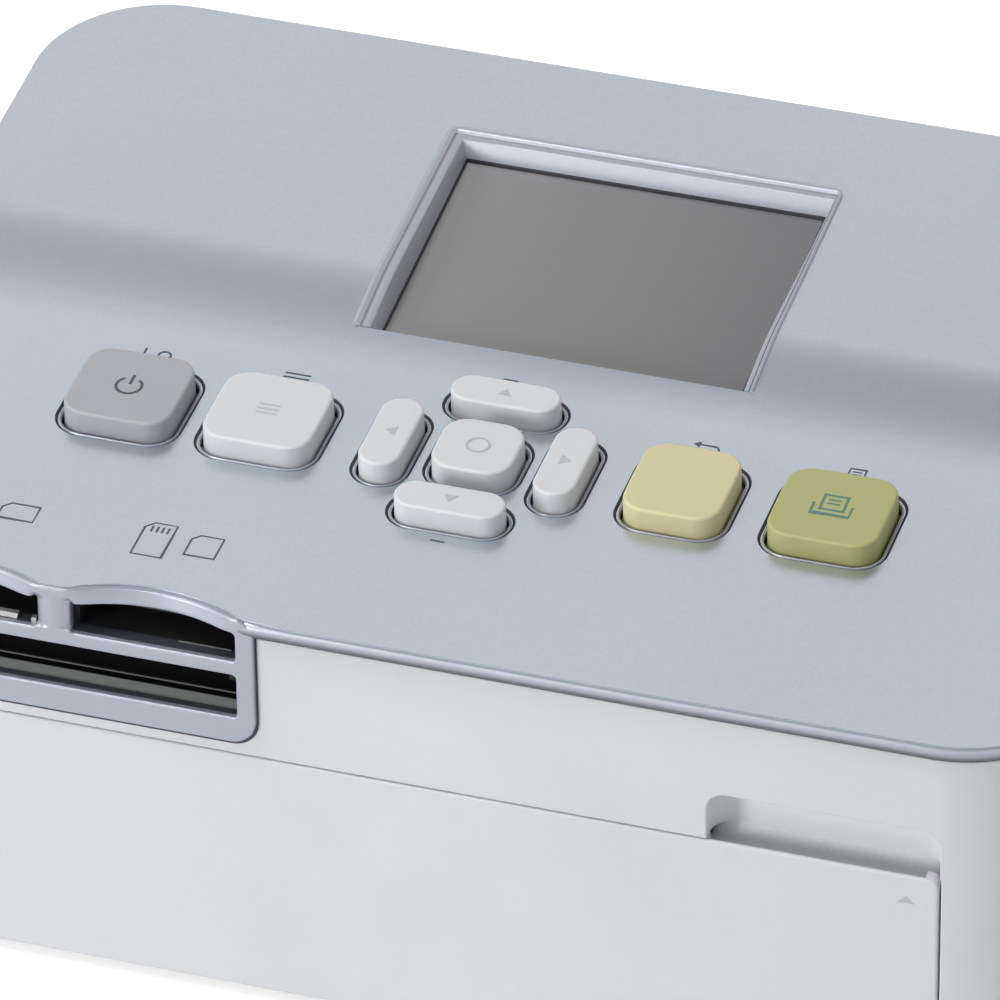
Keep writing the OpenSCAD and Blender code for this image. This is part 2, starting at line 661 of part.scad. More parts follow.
// ---- chassis --------------------------------------------------------------------------------
roller_cs = [[platen_y, platen_z], [grip_y, grip_z], [grip_y, pinch_z], pickup_c];
chas_y0 = front_y + 28;
chas_y1 = back_y - 5.5;
module chassis_outline() polygon([[chas_y0, floor_z], [chas_y1, floor_z], [chas_y1, chas_top],
    [takeup_y - 11, chas_top], [takeup_y - 15, 40], [chas_y0, 40]]);
module chassis_left() color("lightslategray") {
    difference() {
        along_x(-chas_x, -chas_in) chassis_outline();
        for (c = roller_cs) rod_x(-70, -50, c, bush_r);
        rod_x(-70, -50, [pivot_y, pivot_z], 2.05);
        rod_x(-70, -50, ribbon_c, 5);
    }
    difference() {
        box(-chas_in - 0.01, -lug_x + 7, lug_y - 24, lug_y + 4, floor_z + 1.2, floor_z + 2.4);
        rod_z(0, 20, -lug_x, lug_y, 1.6);
    }
    // studs of the idler gears
    for (c = [idler_a, idler_b, idler_c]) {
        rod_x(gear_x0 - 0.8, -chas_x + 0.01, c, 1.5);
        rod_x(gear_x0 + gear_w + 0.4, -chas_x + 0.01, c, 2.6);
    }
    // posts of the motor bracket
    for (c = post_cs) rod_x(bracket_x + 1, -chas_x + 0.01, c, 2.2);
}
post_cs = [for (p = [[-21, 36], [2.5, 51], [40, 38.5], [33, 13.5]]) [p[0] + rear_shift, p[1]]];
module chassis_right() color("lightslategray") {
    difference() {
        along_x(chas_in, chas_x) chassis_outline();
        for (c = roller_cs) rod_x(50, 70, c, bush_r);
        rod_x(50, 70, [pivot_y, pivot_z], 2.05);
        // way of the ink cassette
        box(50, 70, takeup_y - takeup_r - 0.6, supply_y + supply_r + 0.6,
            spool_z - takeup_r - 0.6, spool_z + takeup_r + 1);
        box(50, 70, takeup_y + 2, supply_y - 2, film_z - 1.4, spool_z);
    }
    difference() {
        box(lug_x - 7, chas_in + 0.01, lug_y - 24, lug_y + 4, floor_z + 1.2, floor_z + 2.4);
        rod_z(0, 20, lug_x, lug_y, 1.6);
    }
}
deck_low_z = 13;                      // sheet under the rollers
module chassis_deck() color("silver") difference() {
    union() {
        box(-chas_in, chas_in, takeup_y + 7, back_y - 6, deck_low_z, deck_low_z + sheet);
        box(-chas_in, chas_in, takeup_y + 7, takeup_y + 7 + sheet, deck_low_z, deck_low_z + 5);
        // paper guide plate between platen and grip roller
        box(-bay_w / 2 + 4, bay_w / 2 - 4, platen_y + 8.5, grip_y - 8.5, 28.2, 29);
        for (s = [-1, 1]) box(s * 35 - 0.6, s * 35 + 0.6, platen_y + 8.5, grip_y - 8.5,
            deck_low_z + 0.5, 28.5);
    }
    for (i = [-3:3]) box(i * 14 - 4, i * 14 + 4, platen_y + 8.5, platen_y + 24.5, 5, 20);
}
module motor_bracket() color("lightslategray") difference() {
    along_x(bracket_x, bracket_x + 1) translate([rear_shift, 0])
        polygon([[-25, 30], [-25, 53.4], [5.5, 53.4], [5.5, 42], [43, 42], [43, 10], [9, 10], [9, 30]]);
    for (c = [pinion_c, ribbon_pin_c]) rod_x(bracket_x - 1, bracket_x + 2, c, 4.9);
}
module roller_bushes() color("goldenrod") for (s = [-1, 1], c = roller_cs)
    difference() {
        translate([s * (chas_in + sheet / 2), 0, 0]) rod_x(-sheet / 2 - 0.5, sheet / 2 + 0.5, c, bush_r);
        rod_x(-80, 80, c, shaft_r + run_fit);
    }
module feed_motor() color("silver") difference() {
    union() {
        rod_x(bracket_x - 11.8, bracket_x, pinion_c, 12);
        rod_x(bracket_x - 0.01, bracket_x + 1, pinion_c, 4.8);
    }
    rod_x(bracket_x - 8, bracket_x + 3, pinion_c, 1.5 + run_fit);
}
module ribbon_motor() color("silver") difference() {
    union() {
        rod_x(bracket_x - 11.8, bracket_x, ribbon_pin_c, 9);
        rod_x(bracket_x - 0.01, bracket_x + 1, ribbon_pin_c, 4.8);
    }
    rod_x(bracket_x - 8, bracket_x + 3, ribbon_pin_c, 1.5 + run_fit);
}
fan_x1 = right_x - wall - 0.2;
fan_c = [fan_y, fan_z];
module fan_housing() color("black") difference() {
    box(fan_x1 - 8, fan_x1, fan_y - fan_s / 2, fan_y + fan_s / 2, fan_z - fan_s / 2, fan_z + fan_s / 2);
    difference() {
        rod_x(fan_x1 - 9, fan_x1 + 1, fan_c, 9);
        rod_x(fan_x1 - 1.5, fan_x1, fan_c, 4.4);
        for (a = [45, 135]) translate([fan_x1 - 0.7, fan_y, fan_z]) rotate([a, 0, 0])
            cube([1.4, 30, 1.4], center = true);
    }
    rod_x(fan_x1 - 3, fan_x1 - 0.8, fan_c, 1 + run_fit);
}
module feet() color("dimgray") for (sx = [-1, 1], sy = [-1, 1])
    rod_z(0, foot_h, sx * (right_x - 22), sy * (back_y - 16), 5);
module case_screws() color("silver") for (p = base_holes) {
    rod_z(foot_h - 1.1, foot_h - 0.02, p[0], p[1], 2.9);
    rod_z(foot_h - 0.1, floor_z + 6, p[0], p[1], 1.2);
}
module chassis_screws() color("silver") for (s = [-1, 1]) {
    rod_z(floor_z - 1, floor_z + 3.8, s * lug_x, lug_y, 1.2);
    rod_z(floor_z + 2.4, floor_z + 4, s * lug_x, lug_y, 2.6);
}

// ---- moving covers --------------------------------------------------------------------------
module front_door() color("white") difference() {
    union() {
        intersection() {
            plan(0, 0, 90);
            along_y(front_y - 1, front_y + door_t) translate([0, (door_bottom + door_top) / 2])
                rounded(door_w, door_top - door_bottom, 1.4);
        }
        for (s = [-1, 1]) box(s * (door_x - 0.9) - 0.8, s * (door_x - 0.9) + 0.8,
            front_y + door_t - eps, front_y + 4, hinge_z + 3, door_top - 3);
        box(-door_x + 20, door_x - 40, front_y + door_t - eps, front_y + 3.6, door_top - 4.6, door_top - 3);
        // lugs on both sides of each ear, and the pin through them
        for (s = [-1, 1], k = [-1, 1]) translate([s * ear_x + k * 3.6, 0, 0]) {
            box(-1.2, 1.2, front_y + door_t - eps, hinge_y, hinge_z - ear_r, hinge_z + ear_r);
            rod_x(-1.2, 1.2, [hinge_y, hinge_z], ear_r);
        }
        for (s = [-1, 1]) rod_x(s * ear_x - 4.4, s * ear_x + 4.4, [hinge_y, hinge_z], hinge_r);
    }
    // thin upper edge along the finger recess
    along_x(notch_x0, notch_x1 - 2) polygon([[front_y + 0.5, door_top + 1], [front_y + 0.5, door_top - 0.4],
        [front_y + door_t, notch_low], [front_y + 9, notch_low], [front_y + 9, door_top + 1]]);
    // pocket behind the plate for each ear
    for (s = [-1, 1]) translate([s * ear_x, 0, 0]) difference() {
        box(-2.35, 2.35, front_y + 1.1, front_y + 9, 0, hinge_z + 4);
        rod_x(-3, 3, [hinge_y, hinge_z], hinge_r);
    }
}
module ink_door() color("white") {
    z0 = ink_z0 + 0.6;
    z1 = ink_z1 - free_gap;
    along_x(right_x - 2, right_x) translate([(ink_y0 + ink_y1) / 2, (z0 + z1) / 2])
        rounded(ink_y1 - ink_y0 - 2 * free_gap, z1 - z0, 2);
    // finger ridge near the top edge
    box(right_x - 0.01, right_x + 0.6, ink_y0 + 22, ink_y1 - 22, ink_z1 - 5, ink_z1 - 4);
    // hinge pins
    rod_y(ink_y0 - 1.4, ink_y0 + 4, ink_pivot_x, ink_pivot_z, ink_pin_r);
    rod_y(ink_y1 - 4, ink_y1 + 1.4, ink_pivot_x, ink_pivot_z, ink_pin_r);
}

// ---- ink cassette ---------------------------------------------------------------------------
module tube(c, r, x0, x1) difference() {
    rod_x(x0, x1, c, r);
    rod_x(x0 + 1.6, x1 - 1.6, c, r - cas_wall);
    rod_x(x0 - 1, x1 + 1, c, 3 + run_fit);
}
module ink_cassette() color("slategray") {
    difference() {
        union() {
            tube([takeup_y, spool_z], takeup_r, cas_x0, cas_x1);
            tube([supply_y, spool_z], supply_r, cas_x0, cas_x1);
        }
        // film slots
        for (i = [0, 2]) strip(film_pts[i], film_pts[i + 1], -print_x1 + 1, print_x1 - 1, 2.6);
    }
    // end webs that join the two tubes
    for (x = [cas_x0, cas_x1 - 2]) difference() {
        box(x, x + 2, takeup_y + 3, supply_y - 3, film_z - 0.4, 36);
        rod_x(x - 1, x + 3, [takeup_y, spool_z], takeup_r - 0.6);
        rod_x(x - 1, x + 3, [supply_y, spool_z], supply_r - 0.6);
    }
    // grip tab
    box(cas_x1 - 0.01, cas_x1 + 2, takeup_y + 5, supply_y - 7, film_z - 0.4, film_z + 4.2);
    box(cas_x1 + 1.99, cas_tab, takeup_y + 13, takeup_y + 21, film_z + 0.8, film_z + 3);
}
// flat strip from p to q in the Y-Z plane, t thick
module strip(p, q, x0, x1, t) {
    a = dir_of(p, q);
    n = [-sin(a) * t / 2, cos(a) * t / 2];
    along_x(x0, x1) polygon([p - n, q - n, q + n, p + n]);
}
film_pts = [[takeup_y + 4.1, spool_z - 4.1], [takeup_y + 11, film_z + 0.1],
    [supply_y - 10, film_z + 0.1], [supply_y - 4.9, spool_z - 4.9]];
module ribbon_film() color("gold") for (i = [0:2])
    strip(film_pts[i], film_pts[i + 1], -print_x1 + 2, print_x1 - 2, 0.2);
module supply_spool() color("whitesmoke") {
    c = [supply_y, spool_z];
    rod_x(cas_x0 + 0.3, cas_x1 - 0.3, c, 3);
    rod_x(-print_x1 + 2, print_x1 - 2, c, 5.9);
    for (x = [-print_x1, print_x1 - 1]) rod_x(x, x + 1, c, 6.4);
}
module takeup_spool() color("whitesmoke") difference() {
    c = [takeup_y, spool_z];
    union() {
        rod_x(cas_x0 + 0.3, cas_x1 - 0.3, c, 3);
        rod_x(-print_x1 + 2, print_x1 - 2, c, 4.8);
        for (x = [-print_x1, print_x1 - 1]) rod_x(x, x + 1, c, 6.4);
    }
    rod_x(cas_x0, cas_x0 + 9, c, 1.8);
}

// ---- print head -----------------------------------------------------------------------------
head_y = platen_y - 2;                // heating line of the print head
module head_arm() color("lightslategray") {
    w = print_x1 + 4;
    difference() {
        union() {
            box(-w, w, head_y - 6.5, pivot_y - 2, arm_z, arm_z + sheet);
            box(-w, w, head_y - 6.5, head_y - 6.5 + sheet, 46, arm_z + 0.6);
            for (s = [-1, 1])
                translate([s * (w - 1), 0, 0])
                    box(-1, 1, pivot_y - 8, pivot_y + 2.4, pivot_z - 2.4, arm_z + sheet);
        }
        for (i = [-2:2]) box(i * 20 - 7, i * 20 + 7, pivot_y - 28, pivot_y - 12, 40, 60);
    }
    for (s = [-1, 1]) rod_x(s * (w + 2.5) - 3.6, s * (w + 2.5) + 3.6, [pivot_y, pivot_z], 2);
}
module thermal_head() color("silver") {
    // heat sink with fins, ceramic bar below
    w = print_x1 + 1;
    y0 = head_y - 5.3;
    box(-w, w, y0, y0 + 10.4, 42, 46);
    for (i = [0:4]) box(-w, w, y0 + i * 2.3, y0 + 1.2 + i * 2.3, 45.9, arm_z);
    box(-print_x1, print_x1, y0 + 0.8, y0 + 9.8, 38.2, 42.01);
    rod_x(-print_x1 + 1, print_x1 - 1, [head_y - 0.5, 38.4], 0.7);
}

// ---- rollers --------------------------------------------------------------------------------
end_x = chas_x + 0.8;                 // ends of the shafts, outside the bushes
module platen_roller() color("dimgray") {
    rod_x(-end_x, end_x, [platen_y, platen_z], shaft_r);
    rod_x(-print_x1 - 1, print_x1 + 1, [platen_y, platen_z], roller_r);
}
module grip_roller() color("silver") {
    rod_x(gear_x0, end_x, grip_c, shaft_r);
    rod_x(-print_x1, print_x1, grip_c, roller_r);
    gear(wheel_n, grip_c, ph_grip, gear_x0, gear_x0 + gear_w);
}
module pinch_roller() color("dimgray") {
    rod_x(-end_x, end_x, [grip_y, pinch_z], shaft_r);
    rod_x(-print_x1 + 2, print_x1 - 2, [grip_y, pinch_z], pinch_r);
}
module pickup_roller() color("dimgray") {
    rod_x(gear_x0, end_x, pickup_c, shaft_r);
    for (s = [-1, 1]) rod_x(s * 16 - 8, s * 16 + 8, pickup_c, roller_r + 1);
    gear(idler_n, pickup_c, ph_pickup, gear_x0, gear_x0 + gear_w);
}

// ---- gears ----------------------------------------------------------------------------------
module idler(n, c, phase) difference() {
    gear(n, c, phase, gear_x0, gear_x0 + gear_w);
    rod_x(gear_x0 - 1, gear_x0 + gear_w + 1, c, 1.5 + run_fit);
}
module grip_idler() color("ivory") idler(idler_n, idler_a, ph_idler_a);
module front_idler() color("ivory") idler(wheel_n, idler_b, ph_idler_b);
module pickup_idler() color("ivory") idler(wheel_n, idler_c, ph_idler_c);
module feed_pinion() color("goldenrod") {
    rod_x(bracket_x - 7.6, gear_x0 + gear_w, pinion_c, 1.5);
    gear(pinion_n, pinion_c, ph_pinion, bracket_x + 1.4, gear_x0 + gear_w);
}
module ribbon_pinion() color("goldenrod") {
    rod_x(bracket_x - 7.6, ribbon_x0 + ribbon_w, ribbon_pin_c, 1.5);
    gear(pinion_n, ribbon_pin_c, ph_ribbon_pin, bracket_x + 1.4, ribbon_x0 + ribbon_w);
}
module ribbon_gear() color("ivory") {
    gear(idler_n, ribbon_c, 0, ribbon_x0, ribbon_x0 + ribbon_w);
    rod_x(ribbon_x0, -chas_in + 0.6, ribbon_c, 4.95);
    rod_x(-chas_in, cas_x0 + 8, ribbon_c, 1.4);
}
module fan_rotor() color("dimgray") {
    rod_x(fan_x1 - 7.6, fan_x1 - 1.9, fan_c, 4);
    rod_x(fan_x1 - 3, fan_x1 - 1, fan_c, 1);
    intersection() {
        rod_x(fan_x1 - 9, fan_x1 - 1.9, fan_c, 8.5);
        union() for (i = [0:6]) translate([fan_x1 - 4.9, fan_y, fan_z]) rotate([i * 360 / 7, 0, 0])
            translate([0, 6, 0]) rotate([0, 35, 0]) cube([5, 6, 0.9], center = true);
    }
}

// ---- keys -----------------------------------------------------------------------------------
module key_power() color("darkgray") key_frame(power_x, 0) key_solid(key_size, key_size, big_r);
module key_menu() color("whitesmoke") key_frame(menu_x, 0) key_solid(key_size, key_size, big_r);
module key_left() color("whitesmoke") key_frame(nav_x - nav_pitch, 0) key_solid(nav_wid, nav_len, nav_r);
module key_right() color("whitesmoke") key_frame(nav_x + nav_pitch, 0) key_solid(nav_wid, nav_len, nav_r);
module key_up() color("whitesmoke") key_frame(nav_x, nav_pitch) key_solid(nav_len, nav_wid, nav_r);
module key_down() color("whitesmoke") key_frame(nav_x, -nav_pitch) key_solid(nav_len, nav_wid, nav_r);
module key_ok() color("whitesmoke") key_frame(nav_x, 0) key_solid(ok_size, ok_size, big_r);
module key_back() color("khaki") key_frame(back_x, 0) key_solid(back_size, key_size, big_r);
module key_print() color("darkkhaki") key_frame(print_x, 0) key_solid(key_size, key_size, big_r);

base_tray();
body_shell();
front_frame();
top_panel();
trim_bead();
card_bezel();
display_frame();
display_glass();
display_gasket();
lcd_module();
control_board();
keypad_mat();
card_board();
left_card_socket();
right_card_socket();
lower_card_socket();
main_board();
dc_jack();
usb_device_socket();
usb_host_socket();
chassis_left();
chassis_right();
chassis_deck();
motor_bracket();
roller_bushes();
feed_motor();
ribbon_motor();
fan_housing();
feet();
case_screws();
chassis_screws();
front_door();
ink_door();
ink_cassette();
ribbon_film();
supply_spool();
takeup_spool();
head_arm();
thermal_head();
platen_roller();
grip_roller();
pinch_roller();
pickup_roller();
feed_pinion();
grip_idler();
front_idler();
pickup_idler();
ribbon_pinion();
ribbon_gear();
fan_rotor();
key_power();
key_menu();
key_left();
key_right();
key_up();
key_down();
key_ok();
key_back();
key_print();
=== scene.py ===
"""Looks of the compact photo printer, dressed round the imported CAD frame.

Blender works in metres. The shapes below are written in millimetres and scaled by MM.
X to the right, Y to the back, Z up, origin at the middle of the footprint on the floor.
"""

import json
import math

import bmesh
import bpy
from mathutils import Matrix, Vector

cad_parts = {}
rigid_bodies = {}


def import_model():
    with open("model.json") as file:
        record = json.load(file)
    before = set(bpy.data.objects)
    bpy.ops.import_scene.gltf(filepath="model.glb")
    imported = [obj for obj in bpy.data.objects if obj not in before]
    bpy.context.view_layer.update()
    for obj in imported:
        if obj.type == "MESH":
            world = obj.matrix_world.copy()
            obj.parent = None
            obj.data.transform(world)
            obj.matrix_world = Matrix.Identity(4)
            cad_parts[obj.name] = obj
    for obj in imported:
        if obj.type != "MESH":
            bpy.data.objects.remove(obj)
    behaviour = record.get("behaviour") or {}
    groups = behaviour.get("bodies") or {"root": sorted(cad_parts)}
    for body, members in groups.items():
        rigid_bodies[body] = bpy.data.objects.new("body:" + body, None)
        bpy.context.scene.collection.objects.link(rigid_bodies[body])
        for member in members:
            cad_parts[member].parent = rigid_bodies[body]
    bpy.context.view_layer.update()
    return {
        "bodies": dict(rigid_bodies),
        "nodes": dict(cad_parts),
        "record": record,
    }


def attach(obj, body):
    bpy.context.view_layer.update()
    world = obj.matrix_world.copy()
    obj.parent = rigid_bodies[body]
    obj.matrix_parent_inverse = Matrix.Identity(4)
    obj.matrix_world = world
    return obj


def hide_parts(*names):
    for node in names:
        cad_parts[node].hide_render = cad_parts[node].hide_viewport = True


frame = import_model()
NODES = frame["nodes"]
SLOT_OF = {s["node"]: s["material_slot"] for s in frame["record"]["subparts"]}
MM = 0.001

# ---- sizes repeated from the CAD source, in millimetres ----
BODY_W, BODY_D, CORNER_R = 176.0, 124.0, 17.0
FRONT_Y, BACK_Y, RIGHT_X = -BODY_D / 2, BODY_D / 2, BODY_W / 2
SEAM_H, SEAM_DROP = 59.4, 3.0
PANEL_T = 2.0
KEY_TILT, DECK_TILT = math.radians(2.64), math.radians(5.48)
STEP_Y0, STEP_RUN, STEP_RISE, STEP_FACETS = -6.0, 20.0, 1.4, 14
KEY_ROW_Y, NAV_X, NAV_PITCH = -22.0, -2.5, 12.1
POWER_X, MENU_X, BACK_X, PRINT_X = -51.4, -31.8, 25.7, 46.3
KEY_SIZE, BACK_SIZE, OK_SIZE, NAV_LEN, NAV_WID = 15.3, 13.6, 11.3, 15.2, 5.9
KEY_GAP, BIG_R, NAV_R = 0.4, 3.2, 2.85
FLANGE_TOP, FLANGE_T, FLANGE_W = -(PANEL_T + 0.25), 0.8, 0.9
RIM_W, POCKET_Y0, GLASS_D, GLASS_Y0 = 56.6, 2.0, 37.6, 5.2
GLASS_TILT = math.radians(7.27)
RIM_Y1 = GLASS_Y0 + GLASS_D + 2.6
BEZEL_LEFT, BEZEL_RIGHT = -77.4, -20.2
RECESS_X0, RECESS_X1, RECESS_D = 41.1, 72.3, 4.7


# ---- curves ----
def fade(t):
    """Soft step from 0 to 1."""
    t = min(1.0, max(0.0, t))
    return t * t * (3 - 2 * t)


def turn(start, end, steps):
    """Angles in radians between two angles in degrees."""
    return [math.radians(start + (end - start) * i / steps) for i in range(steps + 1)]


def key_z(y):
    return SEAM_H + SEAM_DROP + (y - FRONT_Y) * math.tan(KEY_TILT)


def deck_z(y):
    return key_z(STEP_Y0) + STEP_RISE + (y - STEP_Y0) * math.tan(DECK_TILT)


def top_z(y):
    """Height of the top panel: two flats joined by a soft S-shaped step."""
    return key_z(y) + fade((y - STEP_Y0) / STEP_RUN) * (deck_z(y) - key_z(y))


def top_normal(y):
    reach = 0.05
    rise = (top_z(y + reach) - top_z(y - reach)) / (2 * reach)
    return Vector((0, -rise, 1)).normalized()


def faceted_z(y):
    """Height of the CAD's panel, which is straight between the stations of the step."""
    t = (y - STEP_Y0) / STEP_RUN * STEP_FACETS
    if not 0 < t < STEP_FACETS:
        return top_z(y)
    k = int(t)
    y0, y1 = STEP_Y0 + STEP_RUN * k / STEP_FACETS, STEP_Y0 + STEP_RUN * (k + 1) / STEP_FACETS
    return top_z(y0) + (top_z(y1) - top_z(y0)) * (y - y0) / (y1 - y0)


# ---- materials ----
def fresh_tree(owner):
    """Empty node tree of a material or world."""
    owner.use_nodes = True
    owner.node_tree.nodes.clear()
    return owner.node_tree


def add_node(tree, kind, inputs=None, **settings):
    """Shader node with its settings and the fixed values of its inputs."""
    node = tree.nodes.new(kind)
    for key, value in settings.items():
        setattr(node, key, value)
    for key, value in (inputs or {}).items():
        node.inputs[key].default_value = value
    return node


def link_all(tree, *pairs):
    for source, socket in pairs:
        tree.links.new(source, socket)


def colour_ramp(tree, fac, stops):
    """Ramp through stops: each is a place from 0 to 1 with a colour or a grey level."""
    ramp = add_node(tree, "ShaderNodeValToRGB")
    elements = ramp.color_ramp.elements
    while len(elements) < len(stops):
        elements.new(0.5)
    for e, (pos, colour) in zip(elements, stops):
        e.position = pos
        e.color = (*colour, 1) if isinstance(colour, tuple) else (colour, colour, colour, 1)
    link_all(tree, (fac, ramp.inputs["Fac"]))
    return ramp.outputs["Color"]


class Look:
    """A Principled material whose noise is laid out in frame coordinates (metres)."""

    def __init__(self, name):
        self.mat = bpy.data.materials.new(name)
        self.tree = fresh_tree(self.mat)
        self.bsdf = self.node("ShaderNodeBsdfPrincipled")
        self.link(self.bsdf.outputs[0], self.node("ShaderNodeOutputMaterial").inputs[0])
        self.coords = self.node("ShaderNodeTexCoord").outputs["Object"]

    def node(self, kind, inputs=None, **settings):
        return add_node(self.tree, kind, inputs, **settings)

    def link(self, source, socket):
        self.tree.links.new(source, socket)

    def set(self, **values):
        for key, value in values.items():
            self.bsdf.inputs[key.replace("_", " ")].default_value = value
        return self

    def stretched(self, scale):
        m = self.node("ShaderNodeMapping", {"Scale": scale})
        self.link(self.coords, m.inputs["Vector"])
        return m.outputs[0]

    def noise(self, scale, detail=2.0, coords=None):
        n = self.node("ShaderNodeTexNoise", {"Scale": scale, "Detail": detail})
        self.link(coords or self.coords, n.inputs["Vector"])
        return n.outputs["Fac"]

    def cells(self, scale):
        """Voronoi cells, for paint flakes, solder pads and grip points."""
        n = self.node("ShaderNodeTexVoronoi", {"Scale": scale}, feature="F1")
        self.link(self.coords, n.inputs["Vector"])
        return n

    def ramp(self, fac, stops):
        return colour_ramp(self.tree, fac, stops)

    def axis_ramp(self, vector, axis, low, high, stops):
        """Ramp along one axis of a vector, between two of its values."""
        split = self.node("ShaderNodeSeparateXYZ")
        place = self.node("ShaderNodeMapRange", {"From Min": low, "From Max": high})
        self.link(vector, split.inputs[0])
        self.link(split.outputs[axis], place.inputs["Value"])
        return self.ramp(place.outputs["Result"], stops)

    def multiply(self, a, b):
        m = self.node("ShaderNodeMix", {"Factor": 1.0}, data_type="RGBA", blend_type="MULTIPLY")
        self.link(a, m.inputs["A"])
        self.link(b, m.inputs["B"])
        return m.outputs["Result"]

    def mix(self, fac, a, colour):
        """Lays a fixed colour over a colour socket."""
        m = self.node("ShaderNodeMix", {"B": (*colour, 1)}, data_type="RGBA")
        self.link(fac, m.inputs["Factor"])
        self.link(a, m.inputs["A"])
        return m.outputs["Result"]

    def base(self, socket):
        self.link(socket, self.bsdf.inputs["Base Color"])

    def drift(self, base, tone=0.03, blotch=35.0):
        """Base colour that drifts a little, lighter and darker, over patches."""
        low = tuple(c * (1 - tone) for c in base)
        high = tuple(min(1.0, c * (1 + tone)) for c in base)
        return self.ramp(self.noise(blotch, 3.0), [(0.3, low), (0.7, high)])

    def rough(self, low, high):
        out = self.ramp(self.noise(900.0), [(0.3, low), (0.7, high)])
        self.link(out, self.bsdf.inputs["Roughness"])

    def bump(self, fac, strength, distance):
        b = self.node("ShaderNodeBump", {"Strength": strength, "Distance": distance})
        self.link(fac, b.inputs["Height"])
        self.link(b.outputs[0], self.bsdf.inputs["Normal"])


def plastic(name, base, rough=(0.38, 0.46), grain=2600.0, depth=0.00002, tone=0.025):
    """Moulded plastic or rubber with a fine grain."""
    look = Look(name)
    look.base(look.drift(base, tone))
    look.rough(*rough)
    look.bump(look.noise(grain), 0.35, depth)
    return look.set(Specular_IOR_Level=0.45).mat


def paint(name, base, metallic, rough, flake=9000.0, shade_by_facing=None):
    """Fine bright and dark flakes over a slowly drifting base.

    Shade_by_facing paints shade into the colour by the normal's height, from 0 for straight down to 1 for
    straight up.
    """
    look = Look(name)
    sparkle = look.ramp(look.cells(flake).outputs["Color"], [(0.0, 0.95), (0.6, 1.0), (1.0, 1.05)])
    colour = look.multiply(look.drift(base, 0.015, 20.0), sparkle)
    if shade_by_facing:
        normal = look.node("ShaderNodeNewGeometry").outputs["Normal"]
        colour = look.multiply(colour, look.axis_ramp(normal, "Z", -1.0, 1.0, shade_by_facing))
    look.base(colour)
    look.rough(*rough)
    look.bump(look.noise(1800.0), 0.15, 0.00001)
    return look.set(Metallic=metallic).mat


def steel(name, base, along=(60.0, 3000.0, 3000.0), rough=(0.28, 0.42)):
    """Sheet metal with rolling marks drawn out along one axis."""
    look = Look(name)
    look.base(look.drift(base, 0.06, 60.0))
    marks = look.noise(1.0, 3.0, look.stretched(along))
    look.link(look.ramp(marks, [(0.3, rough[0]), (0.7, rough[1])]), look.bsdf.inputs["Roughness"])
    look.bump(marks, 0.25, 0.00001)
    return look.set(Metallic=0.9).mat


def board():
    """Green solder mask with paler copper traces and small pads."""
    look = Look("board_green")
    traces = look.node("ShaderNodeTexBrick", {
        "Scale": 260.0, "Mortar Size": 0.03, "Mortar": (0.05, 0.26, 0.10, 1),
        "Color1": (0.012, 0.10, 0.035, 1), "Color2": (0.015, 0.13, 0.045, 1)}, offset=0.35)
    look.link(look.coords, traces.inputs["Vector"])
    pads = look.ramp(look.cells(420.0).outputs["Distance"], [(0.08, 1.0), (0.12, 0.0)])
    look.base(look.mix(pads, traces.outputs["Color"], (0.62, 0.60, 0.52)))
    look.rough(0.22, 0.36)
    look.bump(traces.outputs["Fac"], 0.3, 0.00003)
    return look.mat


def glass_sheet():
    """Dark neutral display glass with a painted reflection of the lamps: lighter towards its left end."""
    look = Look("display_glass")
    half = 0.025
    # painted reflection: the glass lightens towards the left, where the lamps stand
    tone = look.axis_ramp(look.coords, "X", -half, half, [
        (0.0, (0.262, 0.259, 0.260)), (0.5, (0.215, 0.213, 0.214)), (1.0, (0.18, 0.178, 0.181))])
    haze = look.ramp(look.noise(35.0, 3.0), [(0.3, 0.98), (0.7, 1.0)])
    look.base(look.multiply(tone, haze))
    look.rough(0.12, 0.16)
    look.bump(look.noise(300.0), 0.35, 0.000002)
    return look.set(Specular_IOR_Level=0.45).mat


def knurled():
    """Steel roller with fine grip points along and round it."""
    look = Look("grip_steel")
    look.base(look.drift((0.6, 0.6, 0.62), 0.05))
    look.bump(look.cells(1500.0).outputs["Distance"], 0.8, 0.00008)
    look.rough(0.3, 0.45)
    return look.set(Metallic=0.9).mat


